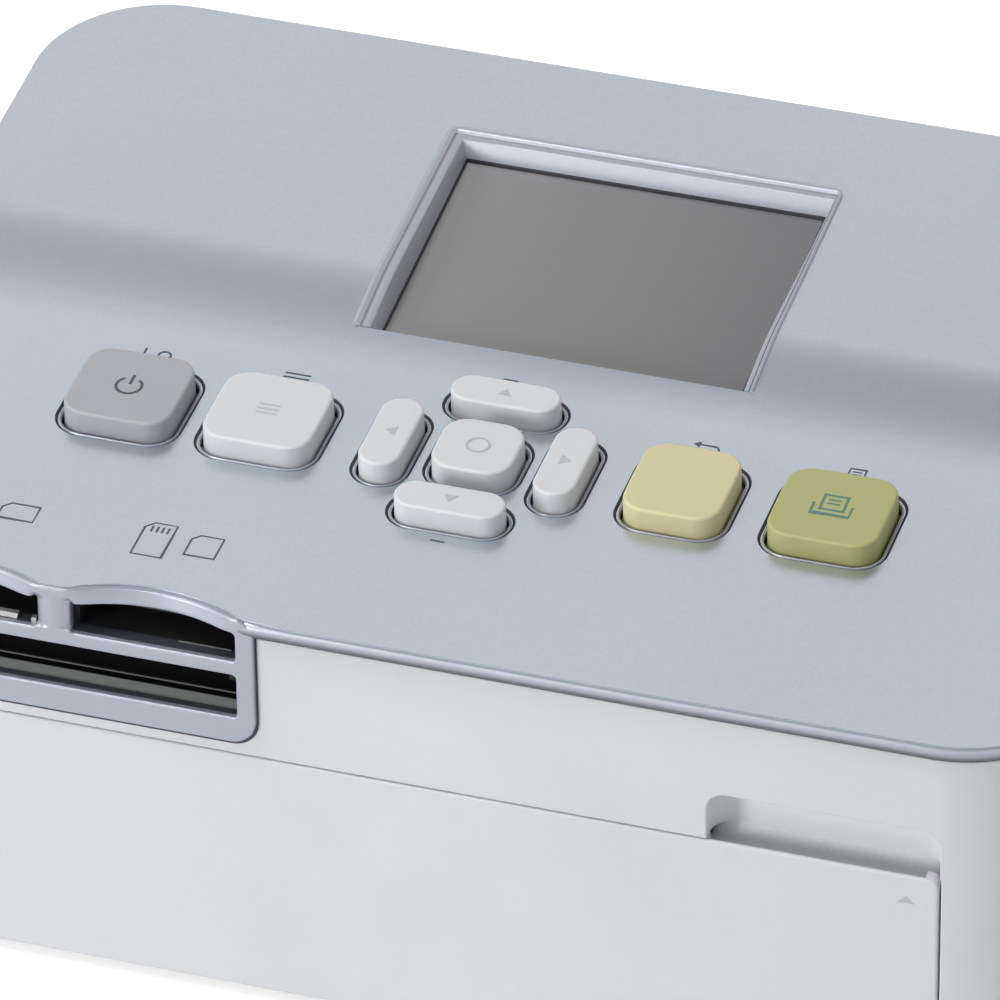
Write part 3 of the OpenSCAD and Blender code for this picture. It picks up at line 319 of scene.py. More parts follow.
PLASTICS = {
    # base colour, then roughness, grain, depth of the grain and drift where they aren't the usual
    "white_shell": ((0.685, 0.695, 0.715), (0.40, 0.48)),
    # painted light: a lighter copy of the casing white for the walls of the finger recess
    "recess_white": ((0.82, 0.832, 0.852),),
    "base_plastic": ((0.56, 0.57, 0.58), (0.5, 0.6), 1900.0, 0.00004),
    "black_plastic": ((0.018, 0.018, 0.02), (0.42, 0.55)),
    "slot_dark": ((0.035, 0.04, 0.05), (0.45, 0.55)),
    "rail_grey": ((0.125, 0.135, 0.125), (0.45, 0.55)),
    "lcd_can": ((0.06, 0.065, 0.07),),
    "mat_rubber": ((0.09, 0.09, 0.10), (0.65, 0.75), 1200.0),
    "foot_rubber": ((0.04, 0.04, 0.042), (0.7, 0.8), 1500.0, 0.00006),
    "roller_rubber": ((0.014, 0.014, 0.016), (0.6, 0.75), 1600.0, 0.00005),
    "cassette_grey": ((0.105, 0.125, 0.16), (0.5, 0.62), 2000.0, 0.00003),
    "ink_film": ((0.34, 0.20, 0.02), (0.12, 0.2), 120.0, 0.00002, 0.15),
    "spool_white": ((0.67, 0.67, 0.64), (0.5, 0.6)),
    "gear_ivory": ((0.71, 0.67, 0.53), (0.42, 0.52)),
    "key_grey": ((0.40, 0.405, 0.43), (0.42, 0.5)),
    "key_white": ((0.68, 0.69, 0.70), (0.4, 0.48)),
    "key_yellow": ((0.66, 0.60, 0.35), (0.4, 0.48)),
    "key_olive": ((0.44, 0.44, 0.185), (0.4, 0.48)),
    "ink_dark": ((0.07, 0.08, 0.10), (0.5, 0.6)),
    "ink_teal": ((0.10, 0.22, 0.19), (0.5, 0.6)),
    "ink_pale": ((0.50, 0.51, 0.52), (0.45, 0.55)),
}
PAINTS = {
    # base colour, metallic, roughness, then flake size and painted shade by facing
    "silver_panel": ((0.51, 0.557, 0.615), 0.8, (0.22, 0.27)),
    # painted shade: a darker copy of the panel paint for its edge faces
    "panel_edge": ((0.27, 0.30, 0.36), 0.5, (0.38, 0.45)),
    # painted shade: the bead and key rims darken where their surface turns down
    "bead_silver": ((0.52, 0.54, 0.62), 0.5, (0.30, 0.36), 9000.0,
                    ((0.25, 0.09), (0.42, 0.30), (0.55, 0.62), (0.72, 0.95), (0.85, 1.0))),
    "bezel_silver": ((0.355, 0.375, 0.44), 0.5, (0.34, 0.40)),
    "frame_silver": ((0.43, 0.455, 0.515), 0.55, (0.40, 0.46)),
    "contact_metal": ((0.36, 0.36, 0.355), 0.6, (0.3, 0.4), 5200.0),
    # painted light and shade: lighter than the casing where the sill curves up, darker where it lies flat
    "recess_shade": ((0.80, 0.812, 0.83), 0.0, (0.4, 0.48), 2600.0,
                     ((0.5, 1.0), (0.7, 0.94), (0.86, 0.74), (1.0, 0.52))),
}
STEELS = {
    # base colour, then the noise's scale along each axis and roughness
    "socket_steel": ((0.62, 0.63, 0.64),),
    "sheet_steel": ((0.55, 0.56, 0.58),),
    "motor_can": ((0.60, 0.61, 0.63),),
    "head_alu": ((0.68, 0.69, 0.71),),
    "screw_steel": ((0.50, 0.50, 0.51), (1500.0, 1500.0, 1500.0)),
    "bush_brass": ((0.56, 0.38, 0.15), (2000.0, 2000.0, 2000.0), (0.35, 0.5)),
}
MATERIALS = {"board_green": board(), "display_glass": glass_sheet(), "grip_steel": knurled()}
for make, table in ((plastic, PLASTICS), (paint, PAINTS), (steel, STEELS)):
    MATERIALS.update({look_name: make(look_name, *values) for look_name, values in table.items()})

for node_name, solid in NODES.items():
    solid.data.materials.clear()
    solid.data.materials.append(MATERIALS[SLOT_OF[node_name]])


# ---- building pieces ----
def add_object(name, data):
    obj = bpy.data.objects.new(name, data)
    bpy.context.scene.collection.objects.link(obj)
    return obj


def settle(name, mesh, body, look, slot, replaces=()):
    """Object from a finished mesh: material, body and the CAD nodes it stands for; its slot argument is not
    used.
    """
    mesh.materials.clear()
    mesh.materials.append(MATERIALS[look])
    obj = add_object(name, mesh)
    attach(obj, body)
    if replaces:
        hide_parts(*replaces)
    return obj


def piece(name, verts, faces, body, look, slot=None, replaces=(), sharp=32.0):
    """Object from points in millimetres and faces, smooth but for edges over sharp degrees."""
    mesh = bpy.data.meshes.new(name)
    mesh.from_pydata([(x * MM, y * MM, z * MM) for x, y, z in verts], [], faces)
    bm = bmesh.new()
    bm.from_mesh(mesh)
    bmesh.ops.remove_doubles(bm, verts=bm.verts, dist=1e-7)
    bmesh.ops.recalc_face_normals(bm, faces=bm.faces)
    bm.to_mesh(mesh)
    bm.free()
    mesh.shade_smooth()
    mesh.set_sharp_from_angle(angle=math.radians(sharp))
    return settle(name, mesh, body, look, slot or look, replaces)


def cad_copy(node, name):
    """A CAD solid's mesh, copied and opened for editing with its flat faces joined up."""
    weld = 2e-6
    mesh = NODES[node].data.copy()
    mesh.name = name
    bm = bmesh.new()
    bm.from_mesh(mesh)
    bmesh.ops.remove_doubles(bm, verts=bm.verts, dist=weld)
    bmesh.ops.dissolve_limit(bm, angle_limit=math.radians(0.3), verts=bm.verts, edges=bm.edges)
    bmesh.ops.dissolve_degenerate(bm, edges=bm.edges, dist=weld)
    return mesh, bm


def close_copy(mesh, bm):
    """Ends the editing of a CAD copy: smooth, with sharp edges, without the solid's own normals."""
    bm.to_mesh(mesh)
    bm.free()
    if mesh.has_custom_normals:
        mesh.attributes.remove(mesh.attributes["custom_normal"])
    mesh.shade_smooth()
    mesh.set_sharp_from_angle(angle=math.radians(40))


def turns_by(edge, angle):
    """Whether two faces meet at this edge and turn by more than the angle in degrees."""
    return len(edge.link_faces) == 2 and edge.calc_face_angle(0) > math.radians(angle)


def round_edges(bm, edges, width, segments):
    bmesh.ops.bevel(bm, geom=edges, offset=width * MM, offset_type="OFFSET", segments=segments,
                    profile=0.5, affect="EDGES", clamp_overlap=False)


def body_of(node):
    return next(b for b, o in frame["bodies"].items() if NODES[node].parent == o)


def dress(node, width=0.3, pick=lambda a, b: True):
    """CAD solid with its edges rounded: pick says which edges, from their two ends in millimetres."""
    name = node + "_dressed"
    mesh, bm = cad_copy(node, name)
    bmesh.ops.recalc_face_normals(bm, faces=bm.faces)
    edges = [e for e in bm.edges if turns_by(e, 34) and pick(e.verts[0].co / MM, e.verts[1].co / MM)]
    round_edges(bm, edges, width, 3)
    close_copy(mesh, bm)
    obj = settle(name, mesh, body_of(node), SLOT_OF[node], SLOT_OF[node], (node,))
    flat = obj.modifiers.new("flat_faces", "WEIGHTED_NORMAL")
    flat.mode = "FACE_AREA"
    flat.weight = 50
    flat.keep_sharp = True


def outline(w, d, r, bow=0.0):
    """Counter-clockwise rounded rectangle; its corners are pulled in by bow, so its sides swell."""
    arc, side = 7, 6
    arcs = []
    for sx, sy, start in ((1, -1, -90), (1, 1, 0), (-1, 1, 90), (-1, -1, 180)):
        cx, cy = sx * (w / 2 - r), sy * (d / 2 - r)
        arcs.append([(cx + r * math.cos(a), cy + r * math.sin(a)) for a in turn(start, start + 90, arc)])
    pts = []
    for k, corner in enumerate(arcs):
        (x0, y0), (x1, y1) = corner[-1], arcs[(k + 1) % 4][0]
        pts += corner + [(x0 + (x1 - x0) * i / side, y0 + (y1 - y0) * i / side) for i in range(1, side)]
    return [(x * (1 - 2 * bow / w * (2 * y / d) ** 2), y * (1 - 2 * bow / d * (2 * x / w) ** 2))
            for x, y in pts]


def loft(rings, capped=True):
    """Skin over closed rings of equally many points."""
    n = len(rings[0])
    verts = [p for ring in rings for p in ring]
    faces = []
    for i in range(len(rings) - 1):
        for j in range(n):
            a, b = i * n + j, i * n + (j + 1) % n
            faces.append((a, b, b + n, a + n))
    if capped:
        faces.append(tuple(range(n - 1, -1, -1)))
        faces.append(tuple(range((len(rings) - 1) * n, len(rings) * n)))
    return verts, faces


def wrap(paths):
    """Skin over open paths that lie side by side round a bar, with its two ends closed."""
    n, m = len(paths[0]), len(paths)
    verts = [p for path in paths for p in path]
    faces = []
    for i in range(m):
        k = (i + 1) % m
        faces += [(i * n + j, i * n + j + 1, k * n + j + 1, k * n + j) for j in range(n - 1)]
    faces.append(tuple(i * n for i in range(m)))
    faces.append(tuple(i * n + n - 1 for i in reversed(range(m))))
    return verts, faces


def bar(stations, section):
    """Straight bar along X through the given stations: its section is in Y and Z."""
    return loft([[(x, y, z) for y, z in section] for x in stations])


def join(parts):
    verts, faces = [], []
    for v, f in parts:
        k = len(verts)
        verts += v
        faces += [tuple(i + k for i in face) for face in f]
    return verts, faces


# ---- keys ----
KEYS = {
    # place in the key row, width, depth and corner radius
    "key_power": (POWER_X, 0, KEY_SIZE, KEY_SIZE, BIG_R),
    "key_menu": (MENU_X, 0, KEY_SIZE, KEY_SIZE, BIG_R),
    "key_left": (NAV_X - NAV_PITCH, 0, NAV_WID, NAV_LEN, NAV_R),
    "key_right": (NAV_X + NAV_PITCH, 0, NAV_WID, NAV_LEN, NAV_R),
    "key_up": (NAV_X, NAV_PITCH, NAV_LEN, NAV_WID, NAV_R),
    "key_down": (NAV_X, -NAV_PITCH, NAV_LEN, NAV_WID, NAV_R),
    "key_ok": (NAV_X, 0, OK_SIZE, OK_SIZE, BIG_R),
    "key_back": (BACK_X, 0, BACK_SIZE, KEY_SIZE, BIG_R),
    "key_print": (PRINT_X, 0, KEY_SIZE, KEY_SIZE, BIG_R),
}
CAP_H, CAP_SOFT, CAP_DRAFT = 2.95, 0.42, 0.03
BIG_KEY = 8.0


def key_plane(x, y):
    """Maps a point of the key's own frame to the model."""
    y0 = KEY_ROW_Y + y
    z0, c, s = key_z(y0), math.cos(KEY_TILT), math.sin(KEY_TILT)
    return lambda u, v, w: (x + u, y0 + v * c - w * s, z0 + v * s + w * c)


def near_key(p):
    margin = 1.3
    return any(abs(p[0] - x) < w / 2 + margin and abs(p[1] - KEY_ROW_Y - y) < d / 2 + margin
               for x, y, w, d, r in KEYS.values())


def key_cap(node):
    """Key from its flange to its top, with swelling sides and a soft upper edge."""
    x, y, w, d, r = KEYS[node]
    at = key_plane(x, y)
    bow = 0.16 if min(w, d) > BIG_KEY else 0.04
    levels = [(FLANGE_W, FLANGE_TOP - FLANGE_T), (FLANGE_W, FLANGE_TOP), (0.0, FLANGE_TOP),
              (0.0, -0.3), (-CAP_DRAFT, CAP_H - CAP_SOFT - 0.02)]
    for a in turn(0, 90, 8)[1:]:
        inward, up = CAP_SOFT * (1 - math.cos(a)), CAP_SOFT * math.sin(a)
        levels.append((-(CAP_DRAFT + inward), CAP_H - CAP_SOFT + up))
    levels += [(-0.6, CAP_H), (-0.9, CAP_H)]
    rings = []
    for grow, z in levels:
        ring = outline(w + 2 * grow, d + 2 * grow, max(0.3, r + grow), bow)
        rings.append([at(u, v, z) for u, v in ring])
    piece(node + "_cap", *loft(rings), node, SLOT_OF[node], replaces=(node,), sharp=50)


def key_rims():
    """Thin sloped ring in each chamfered key hole, with a dark line between it and the panel."""
    # distance past the hole's edge and height
    section = ((0.02, -1.0), (0.02, -0.36), (0.05, -0.28), (0.25, -0.09), (0.29, -0.07), (0.325, -0.09),
               (0.34, -1.0))
    parts = []
    for x, y, w, d, r in KEYS.values():
        at = key_plane(x, y)
        bow = 0.12 if min(w, d) > BIG_KEY else 0.03
        rings = []
        for past, z in section:
            grow = past + KEY_GAP
            rings.append([at(u, v, z) for u, v in outline(w + 2 * grow, d + 2 * grow, r + grow, bow)])
        verts, faces = loft(rings, capped=False)
        n, last = len(rings[0]), len(verts) - len(rings[0])
        faces += [(last + j, last + (j + 1) % n, (j + 1) % n, j) for j in range(n)]
        parts.append((verts, faces))
    # the rings' paint is darker where they turn down: painted shade
    piece("key_rims", *join(parts), "housing", "bead_silver", sharp=60)


# ---- top panel ----
HOLE_CHAMFER, EDGE_CHAMFER = 0.40, 0.1
LIP_PUSH, LIP_H, RIM_ZONE = 0.75, 0.42, 0.12


def casing_gap(x, y):
    """Signed distance to the casing's outline, positive outside, and its outward direction."""
    qx, qy = abs(x) - RIGHT_X + CORNER_R, abs(y) - BACK_Y + CORNER_R
    if qx > 0 and qy > 0:
        size = math.hypot(qx, qy)
        return size - CORNER_R, math.copysign(qx / size, x), math.copysign(qy / size, y)
    if qx > qy:
        return qx - CORNER_R, math.copysign(1.0, x), 0.0
    return qy - CORNER_R, 0.0, math.copysign(1.0, y)


def chamfer_panel(bm):
    """Chamfers round the key holes, and a finer one along the panel's other upper edges."""
    def upper_edges(at_key):
        return [e for e in bm.edges if turns_by(e, 50) and near_key(e.verts[0].co / MM) == at_key
                and all(abs(v.co.z / MM - faceted_z(v.co.y / MM)) < 0.02 for v in e.verts)]

    round_edges(bm, upper_edges(True), HOLE_CHAMFER, 1)
    round_edges(bm, upper_edges(False), EDGE_CHAMFER, 2)


def slice_panel(bm):
    """Cuts the panel finely across the step, and into long strips."""
    def cut(place, normal):
        bmesh.ops.bisect_plane(bm, geom=bm.verts[:] + bm.edges[:] + bm.faces[:], dist=1e-7,
                               plane_co=place, plane_no=normal)

    y, spacing = STEP_Y0 - 0.5, 0.5
    while y < STEP_Y0 + STEP_RUN + 0.5:
        cut((0, y * MM, 0), (0, 1, 0))
        y += spacing
    for x in range(-60, 61, 15):
        cut((x * MM, 0, 0), (1, 0, 0))


def push_lip(bm):
    """Moves the panel's rim out over the bead, but not at the back or along the bezel."""
    for v in bm.verts:
        x, y, z = v.co / MM
        gap, nx, ny = casing_gap(x, y)
        if gap > RIM_ZONE:
            out = LIP_PUSH
            if y < -60:
                out *= 1 - fade((x - BEZEL_LEFT + 1) / 1.5) * fade((BEZEL_RIGHT - 0.2 - x) / 1.5)
            new_y = y + min(0.0, ny) * out
            drop = LIP_H if z < top_z(y) - 0.5 else top_z(y) - z
            v.co = Vector((x + nx * out, new_y, top_z(new_y) - drop)) * MM


def top_panel():
    """The silver panel: its surface cut finely through the soft step and laid on the exact curve."""
    mesh, bm = cad_copy("top_panel", "top_panel_smooth")
    chamfer_panel(bm)
    slice_panel(bm)
    for v in bm.verts:
        gap = v.co.z / MM - faceted_z(v.co.y / MM)
        if -0.15 < gap < 0.02:
            v.co.z = (top_z(v.co.y / MM) + gap) * MM
    push_lip(bm)
    bmesh.ops.recalc_face_normals(bm, faces=bm.faces)
    close_copy(mesh, bm)
    normals = [tuple(n.vector) for n in mesh.corner_normals]
    for poly in mesh.polygons:
        for k in poly.loop_indices:
            co = mesh.vertices[mesh.loops[k].vertex_index].co / MM
            if abs(co.z - top_z(co.y)) < 0.012 and poly.normal.z > 0.97:
                normals[k] = tuple(top_normal(co.y))
    mesh.normals_split_custom_set(normals)
    obj = settle("top_panel_smooth", mesh, "housing", "silver_panel", "silver_panel", ("top_panel",))
    obj.data.materials.append(MATERIALS["panel_edge"])
    obj.data.materials.append(MATERIALS["slot_dark"])
    for f in mesh.polygons:
        c = f.center / MM
        # painted shade: rim faces that turn away from straight up take the darker edge copy
        if casing_gap(c.x, c.y)[0] > RIM_ZONE or c.y < -58:
            f.material_index = 1 if f.normal.z < 0.965 else 0
        elif near_key(c) and f.normal.z < 0.9:
            f.material_index = 2


# ---- silver bead ----
BEAD_ROOT = -0.9
BEAD_MID = (0.22, -1.57)
BEAD_RX, BEAD_RZ = 0.78, 1.15


def casing_path(x_start, x_end):
    """Outline of the casing from the front at x_start round the back to x_end: place and normal."""
    cx, cy, r = RIGHT_X - CORNER_R, BACK_Y - CORNER_R, CORNER_R
    fine = 3.2
    out = [(x_start + fine * i / 8, FRONT_Y, 0, -1) for i in range(8)]
    out += [(x_start + fine + (cx - x_start - fine) * i / 12, FRONT_Y, 0, -1) for i in range(12)]

    def corner(sx, sy, start, end, steps=20):
        for a in turn(start, end, steps):
            out.append((sx * cx + r * math.cos(a), sy * cy + r * math.sin(a), math.cos(a), math.sin(a)))

    corner(1, -1, -90, 0)
    out.extend((RIGHT_X, -cy + 2 * cy * i / 60, 1, 0) for i in range(1, 60))
    corner(1, 1, 0, 90)
    out.extend((cx - 2 * cx * i / 12, BACK_Y, 0, 1) for i in range(1, 12))
    corner(-1, 1, 90, 180)
    out.extend((-RIGHT_X, cy - 2 * cy * i / 60, -1, 0) for i in range(1, 60))
    corner(-1, -1, 180, 180 + math.degrees(math.acos((-x_end - cx) / r)), 16)
    return out


def bead():
    """Half-round bead under the panel's lip, a little flatter where it runs into the bezel."""
    section = [(BEAD_ROOT, BEAD_MID[1] + BEAD_RZ)]
    section += [(BEAD_MID[0] + BEAD_RX * math.cos(a), BEAD_MID[1] + BEAD_RZ * math.sin(a))
                for a in turn(90, -90, 18)]
    section.append((BEAD_ROOT, BEAD_MID[1] - BEAD_RZ))
    rings = []
    for x, y, nx, ny in casing_path(BEZEL_RIGHT - 2.6, BEZEL_LEFT - 0.12):
        at_bezel = y < -61 and x > -60
        flat = 1 - 0.12 * fade((BEZEL_RIGHT - 0.3 - x) / 2.3) if at_bezel else 1.0
        rings.append([(x + nx * g * flat, y + ny * g * flat, top_z(y + ny * g) + dz) for g, dz in section])
    # the bead's paint is darker on its lower half: painted shade
    piece("trim_bead_round", *loft(rings), "housing", "bead_silver", replaces=("trim_bead",), sharp=60)


# ---- card bezel ----
BEZEL_Y0, BEZEL_Y1, BEZEL_Z0, BEZEL_Z1 = -62.9, -60.2, 42.6, 62.32
SLOT_X0, SLOT_X1, POST_L, POST_R = -75.2, -22.7, -50.3, -45.6
ARCHES = ((-62.75, 24.9), (-34.15, 22.9))
ARCH_Z0, SLOT_TOP, LOW_Z0, LOW_Z1 = 55.55, 60.15, 46.6, 53.4
HOLES = ((SLOT_X0, POST_L, ARCH_Z0, SLOT_TOP), (POST_R, SLOT_X1, ARCH_Z0, SLOT_TOP),
         (SLOT_X0, SLOT_X1, LOW_Z0, LOW_Z1))
HOLE_R, BEZEL_R, FILLET = 0.7, 3.6, 0.32
# rows of the upper edge: how far below it, and how far back
CROWN = ((0.36, 0.0), (0.24, 0.03), (0.13, 0.09), (0.05, 0.17), (0.0, 0.28))
CROWN_FOOT = 0.4
TINY, ON_EDGE = 1e-6, 1e-4


def smax(a, b, k):
    """Larger of two values, rounded over within k of their crossing."""
    h = max(k - abs(a - b), 0.0) / k
    return max(a, b) + h * h * k / 4


def bite_y(x, z):
    """Front surface of the leaning round bites over the two arched slots."""
    best = -90.0
    for c, w in ARCHES:
        r = w * w / 22.3
        q = r * r - (x - c) ** 2
        if abs(x - c) < w / 2 + 3 and q > 0:
            best = max(best, -60.0 - 0.2493 * (62.5 - z) - r + math.sqrt(q))
    return best


def round_box(x, z, x0, x1, z0, z1, r):
    """Signed distance to a rounded rectangle, positive outside."""
    qx = abs(x - (x0 + x1) / 2) - (x1 - x0) / 2 + r
    qz = abs(z - (z0 + z1) / 2) - (z1 - z0) / 2 + r
    return math.hypot(max(qx, 0), max(qz, 0)) + min(max(qx, qz), 0) - r


def bezel_front(x, z):
    """Front surface without its edge fillets: flat plate, round post, bites over the slots."""
    y = BEZEL_Y0
    mid, half = (POST_L + POST_R) / 2, (POST_R - POST_L) / 2
    off = abs(x - mid)
    if off < half + 1.5:
        swell = 0.95 * min(1.0, ((x - mid) / half) ** 2) * fade((half + 0.9 - off) / 0.9)
        y += swell * fade((z - ARCH_Z0 - 0.1) / 0.5) * fade((SLOT_TOP + 1.1 - z) / 1.2)
    return smax(y, bite_y(x, z), 0.7) if z > SLOT_TOP - 1.2 else y


def bezel_top(x):
    """Upper edge: flush with the panel over the slots, under the bead line at the right end."""
    return BEZEL_Z1 - 0.75 * fade((x - SLOT_X1 - 0.3) / 1.8) - 0.75 * fade((SLOT_X0 - 0.3 - x) / 1.5)


def edge_gap(x, z):
    """Distance from the nearest free edge of the front surface, inside the material."""
    d = -round_box(x, z, BEZEL_LEFT, BEZEL_RIGHT, BEZEL_Z0, 80.0, BEZEL_R)
    return min([d] + [round_box(x, z, *hole, HOLE_R) for hole in HOLES])


def rounded_front(x, z):
    """Front surface with its edge fillets."""
    d = max(0.0, edge_gap(x, z))
    lift = FILLET * (1 - math.sqrt(max(0.0, 1 - (1 - d / FILLET) ** 2))) if d < FILLET else 0.0
    return bezel_front(x, z) + lift


def bezel_back(x, z, y):
    """Rear surface behind a front point: a thick plate, and a thin lip under the panel."""
    plate, lip_foot = 0.8, 61.6
    if z > lip_foot:
        lip = max(-62.3, bite_y(x, 62.3) + 0.85) - 0.05
        return max(y + 0.15, min(y + plate, lip))
    return max(y + plate, BEZEL_Y1)


def bezel_lines():
    """Grid lines across and up the bezel, close together at its edges and round its corners."""
    near = (0.0, 0.05, 0.12, 0.2, 0.32)
    hole_arc = [HOLE_R * (1 - math.cos(a)) for a in turn(0, 90, 6)]
    outer = [*near, *(BEZEL_R * (1 - math.cos(a)) for a in turn(0, 90, 10))]
    xs = {BEZEL_LEFT + 0.4 * i for i in range(1, 143)}
    zs = {55.65, 55.8, 56.0, 56.2, 57.2, 58.2, 59.2, 59.8}
    for x0, x1, z0, z1 in HOLES:
        for lines, low, high in ((xs, x0, x1), (zs, z0, z1)):
            lines.update([low - k for k in near] + [high + k for k in near])
            lines.update([low + k for k in hole_arc] + [high - k for k in hole_arc])
    xs.update([BEZEL_LEFT + k for k in outer] + [BEZEL_RIGHT - k for k in outer])
    zs.update(BEZEL_Z0 + k for k in outer)

    def thinned(lines, low, high):
        closest = 1e-3
        kept = []
        for line in sorted(round(v, 4) for v in lines):
            if low <= line <= high and (not kept or line - kept[-1] >= closest):
                kept.append(line)
        return kept

    over = [60.2, 60.27, 60.35, 60.6, 60.9, 61.2, 61.5, 61.75, 61.95]
    return thinned(xs, BEZEL_LEFT, BEZEL_RIGHT), thinned(zs, BEZEL_Z0, SLOT_TOP + TINY) + over


class BezelGrid:
    """Points of the bezel's front and rear sheets on one grid; the last rows follow the crown."""

    def __init__(self):
        self.xs, zs = bezel_lines()
        self.rows = [(z, None) for z in zs] + [(BEZEL_Z1, edge) for edge in CROWN]
        self.verts, self.index = [], {}

    def place(self, i, j):
        x, (z, edge) = self.xs[i], self.rows[j]
        if edge:
            below, back = edge
            return x, rounded_front(x, bezel_top(x) - CROWN_FOOT) + back, bezel_top(x) - below
        low, high = SLOT_TOP + 0.12, bezel_top(x) - CROWN[0][0]
        if z > low:
            # rows over the slots are fitted under the local upper edge
            z = low + (z - low) * (high - low) / (BEZEL_Z1 - CROWN[0][0] - low)
        return x, rounded_front(x, z), z

    def point(self, i, j, rear):
        key = (i, j, rear)
        if key not in self.index:
            x, y, z = self.place(i, j)
            self.index[key] = len(self.verts)
            self.verts.append((x, bezel_back(x, z, y) if rear else y, z))
        return self.index[key]

    def held(self, i, j):
        """Whether a grid point lies in the material."""
        z, edge = self.rows[j]
        return edge or z > SLOT_TOP + TINY or edge_gap(self.xs[i], z) >= -ON_EDGE

    def cells(self):
        """Grid cells in the material, as their three or four corners."""
        out = []
        for j in range(len(self.rows) - 1):
            for i in range(len(self.xs) - 1):
                corners = [c for c in ((i, j), (i + 1, j), (i + 1, j + 1), (i, j + 1)) if self.held(*c)]
                mid_x = (self.xs[i] + self.xs[i + 1]) / 2
                mid_z = (self.rows[j][0] + self.rows[j + 1][0]) / 2
                bridge = not self.rows[j + 1][1] and edge_gap(mid_x, mid_z) < -ON_EDGE
                if len(corners) == 3 or len(corners) == 4 and not bridge:
                    out.append(corners)
        return out


def card_bezel():
    """Silver bezel: front and rear sheets joined round its outline and through its slots."""
    skin, deep = 0.55, 1.2
    grid = BezelGrid()
    verts, faces, edges = grid.verts, [], {}
    for corners in grid.cells():
        faces.append([grid.point(i, j, False) for i, j in corners])
        faces.append([grid.point(i, j, True) for i, j in reversed(corners)])
        for p, q in zip(corners, corners[1:] + corners[:1]):
            edges[p, q] = True
    for p, q in edges:
        if (q, p) in edges:
            continue
        quad = [grid.point(*q, False), grid.point(*p, False), grid.point(*p, True), grid.point(*q, True)]
        depth = min(verts[quad[2]][1] - verts[quad[1]][1], verts[quad[3]][1] - verts[quad[0]][1])
        in_slot = BEZEL_LEFT + 1 < grid.xs[p[0]] < BEZEL_RIGHT - 1 and verts[quad[0]][2] > BEZEL_Z0 + 1
        if depth > deep and in_slot:
            lip = [len(verts), len(verts) + 1]
            for k in (0, 1):
                x, y, z = verts[quad[k]]
                verts.append((x, y + skin, z))
            faces.append([quad[0], quad[1], lip[1], lip[0]])
            faces.append([lip[0], lip[1], quad[2], quad[3]])
        else:
            faces.append(quad)
    obj = piece("card_bezel_round", verts, faces, "housing", "bezel_silver", "frame_silver",
                ("card_bezel",), 45)
    obj.data.materials.append(MATERIALS["slot_dark"])
    for f in obj.data.polygons:
        c = f.center / MM
        inner = BEZEL_LEFT + 1 < c.x < BEZEL_RIGHT - 1 and BEZEL_Z0 + 2 < c.z < SLOT_TOP + 0.05
        if inner and f.normal.y > -0.3 and c.y > bezel_front(c.x, c.z) + 0.62:
            f.material_index = 1


def bezel_gap_and_painted_shadow():
    """Dark strip round the card bezel: a parting gap down its sides, and a painted shadow under its lower
    edge.
    """
    top = 59.3

    def run(grow, low):
        r = BEZEL_R + grow
        x0, x1, z0 = BEZEL_LEFT - grow, BEZEL_RIGHT + grow, BEZEL_Z0 - low
        arc = turn(0, 90, 14)
        out = [(x0, top)] + [(x0 + r - r * math.cos(a), z0 + r - r * math.sin(a)) for a in arc]
        out += [(x0 + r + (x1 - x0 - 2 * r) * i / 8, z0) for i in range(1, 8)]
        out += [(x1 - r + r * math.sin(a), z0 + r - r * math.cos(a)) for a in arc]
        return out + [(x1, top)]

    proud, deep = FRONT_Y - 0.03, FRONT_Y + 0.25
    # the strip reaches further below the bezel, where it paints the shadow under the bezel's lower edge
    rings = [[(a, proud, b), (c, proud, d), (c, deep, d), (a, deep, b)]
             for (a, b), (c, d) in zip(run(0.2, 0.78), run(-0.35, -0.35))]
    piece("bezel_gap_and_painted_shadow", *loft(rings), "housing", "slot_dark", "black_plastic", sharp=40)


def slot_bar(x0, x1, section):
    return bar((x0, (2 * x0 + x1) / 3, (x0 + 2 * x1) / 3, x1), section)


def slot_details():
    """What shows inside the card slots: a guide rail, a ridge and three contact strips."""
    rail = slot_bar(SLOT_X0 + 0.02, SLOT_X1 - 0.02, [
        (-60.25, 46.62), (-61.0, 46.62), (-61.0, 46.9), (-60.9, 47.0), (-60.35, 47.72), (-60.25, 47.75)])
    ridge = slot_bar(SLOT_X0 + 0.3, SLOT_X1 - 0.3, [
        (-59.5, 48.2), (-59.75, 48.2), (-59.78, 48.3), (-59.7, 48.38), (-59.5, 48.36)])
    contacts = join([
        slot_bar(-31.3, -24.0, [(-60.4, 55.56), (-60.52, 55.56), (-60.52, 55.68), (-60.4, 55.7)]),
        slot_bar(-59.0, -53.2, [
            (-60.9, 55.5), (-61.9, 55.5), (-61.95, 55.75), (-61.6, 56.25), (-60.9, 56.3)]),
        slot_bar(-51.15, -50.45, [
            (-61.3, 55.5), (-62.1, 55.5), (-62.15, 55.9), (-62.0, 56.35), (-61.3, 56.4)])])
    piece("slot_rail", *rail, "housing", "rail_grey", "black_plastic")
    piece("slot_ridge", *ridge, "housing", "rail_grey", "black_plastic")
    piece("slot_contacts", *contacts, "housing", "contact_metal", "spool_white")


# ---- display ----
GLASS_Z0 = top_z(POCKET_Y0) - 2.45
RIM_CORNER, RIM_FRONT = 1.7, POCKET_Y0 + 0.06
RIM_PROFILE = (
    # inset from the outer edge, height over the panel
    (0.55, -1.6), (0.55, -0.12), (0.06, -0.02), (0.08, 0.14), (0.20, 0.32), (0.42, 0.45), (0.70, 0.50),
    (0.98, 0.45), (1.18, 0.32), (1.30, 0.14), (1.34, -0.04), (1.50, -0.06), (1.56, 0.06), (1.66, 0.12),
    (1.90, 0.13), (2.45, 0.13), (2.58, 0.10), (2.66, 0.02),
)
WALL_HEAD, WALL_FOOT, SEAL_H = 2.70, 3.5, 0.6


def glass_z(y, up=0.0):
    return GLASS_Z0 + (y - GLASS_Y0) * math.tan(GLASS_TILT) + up


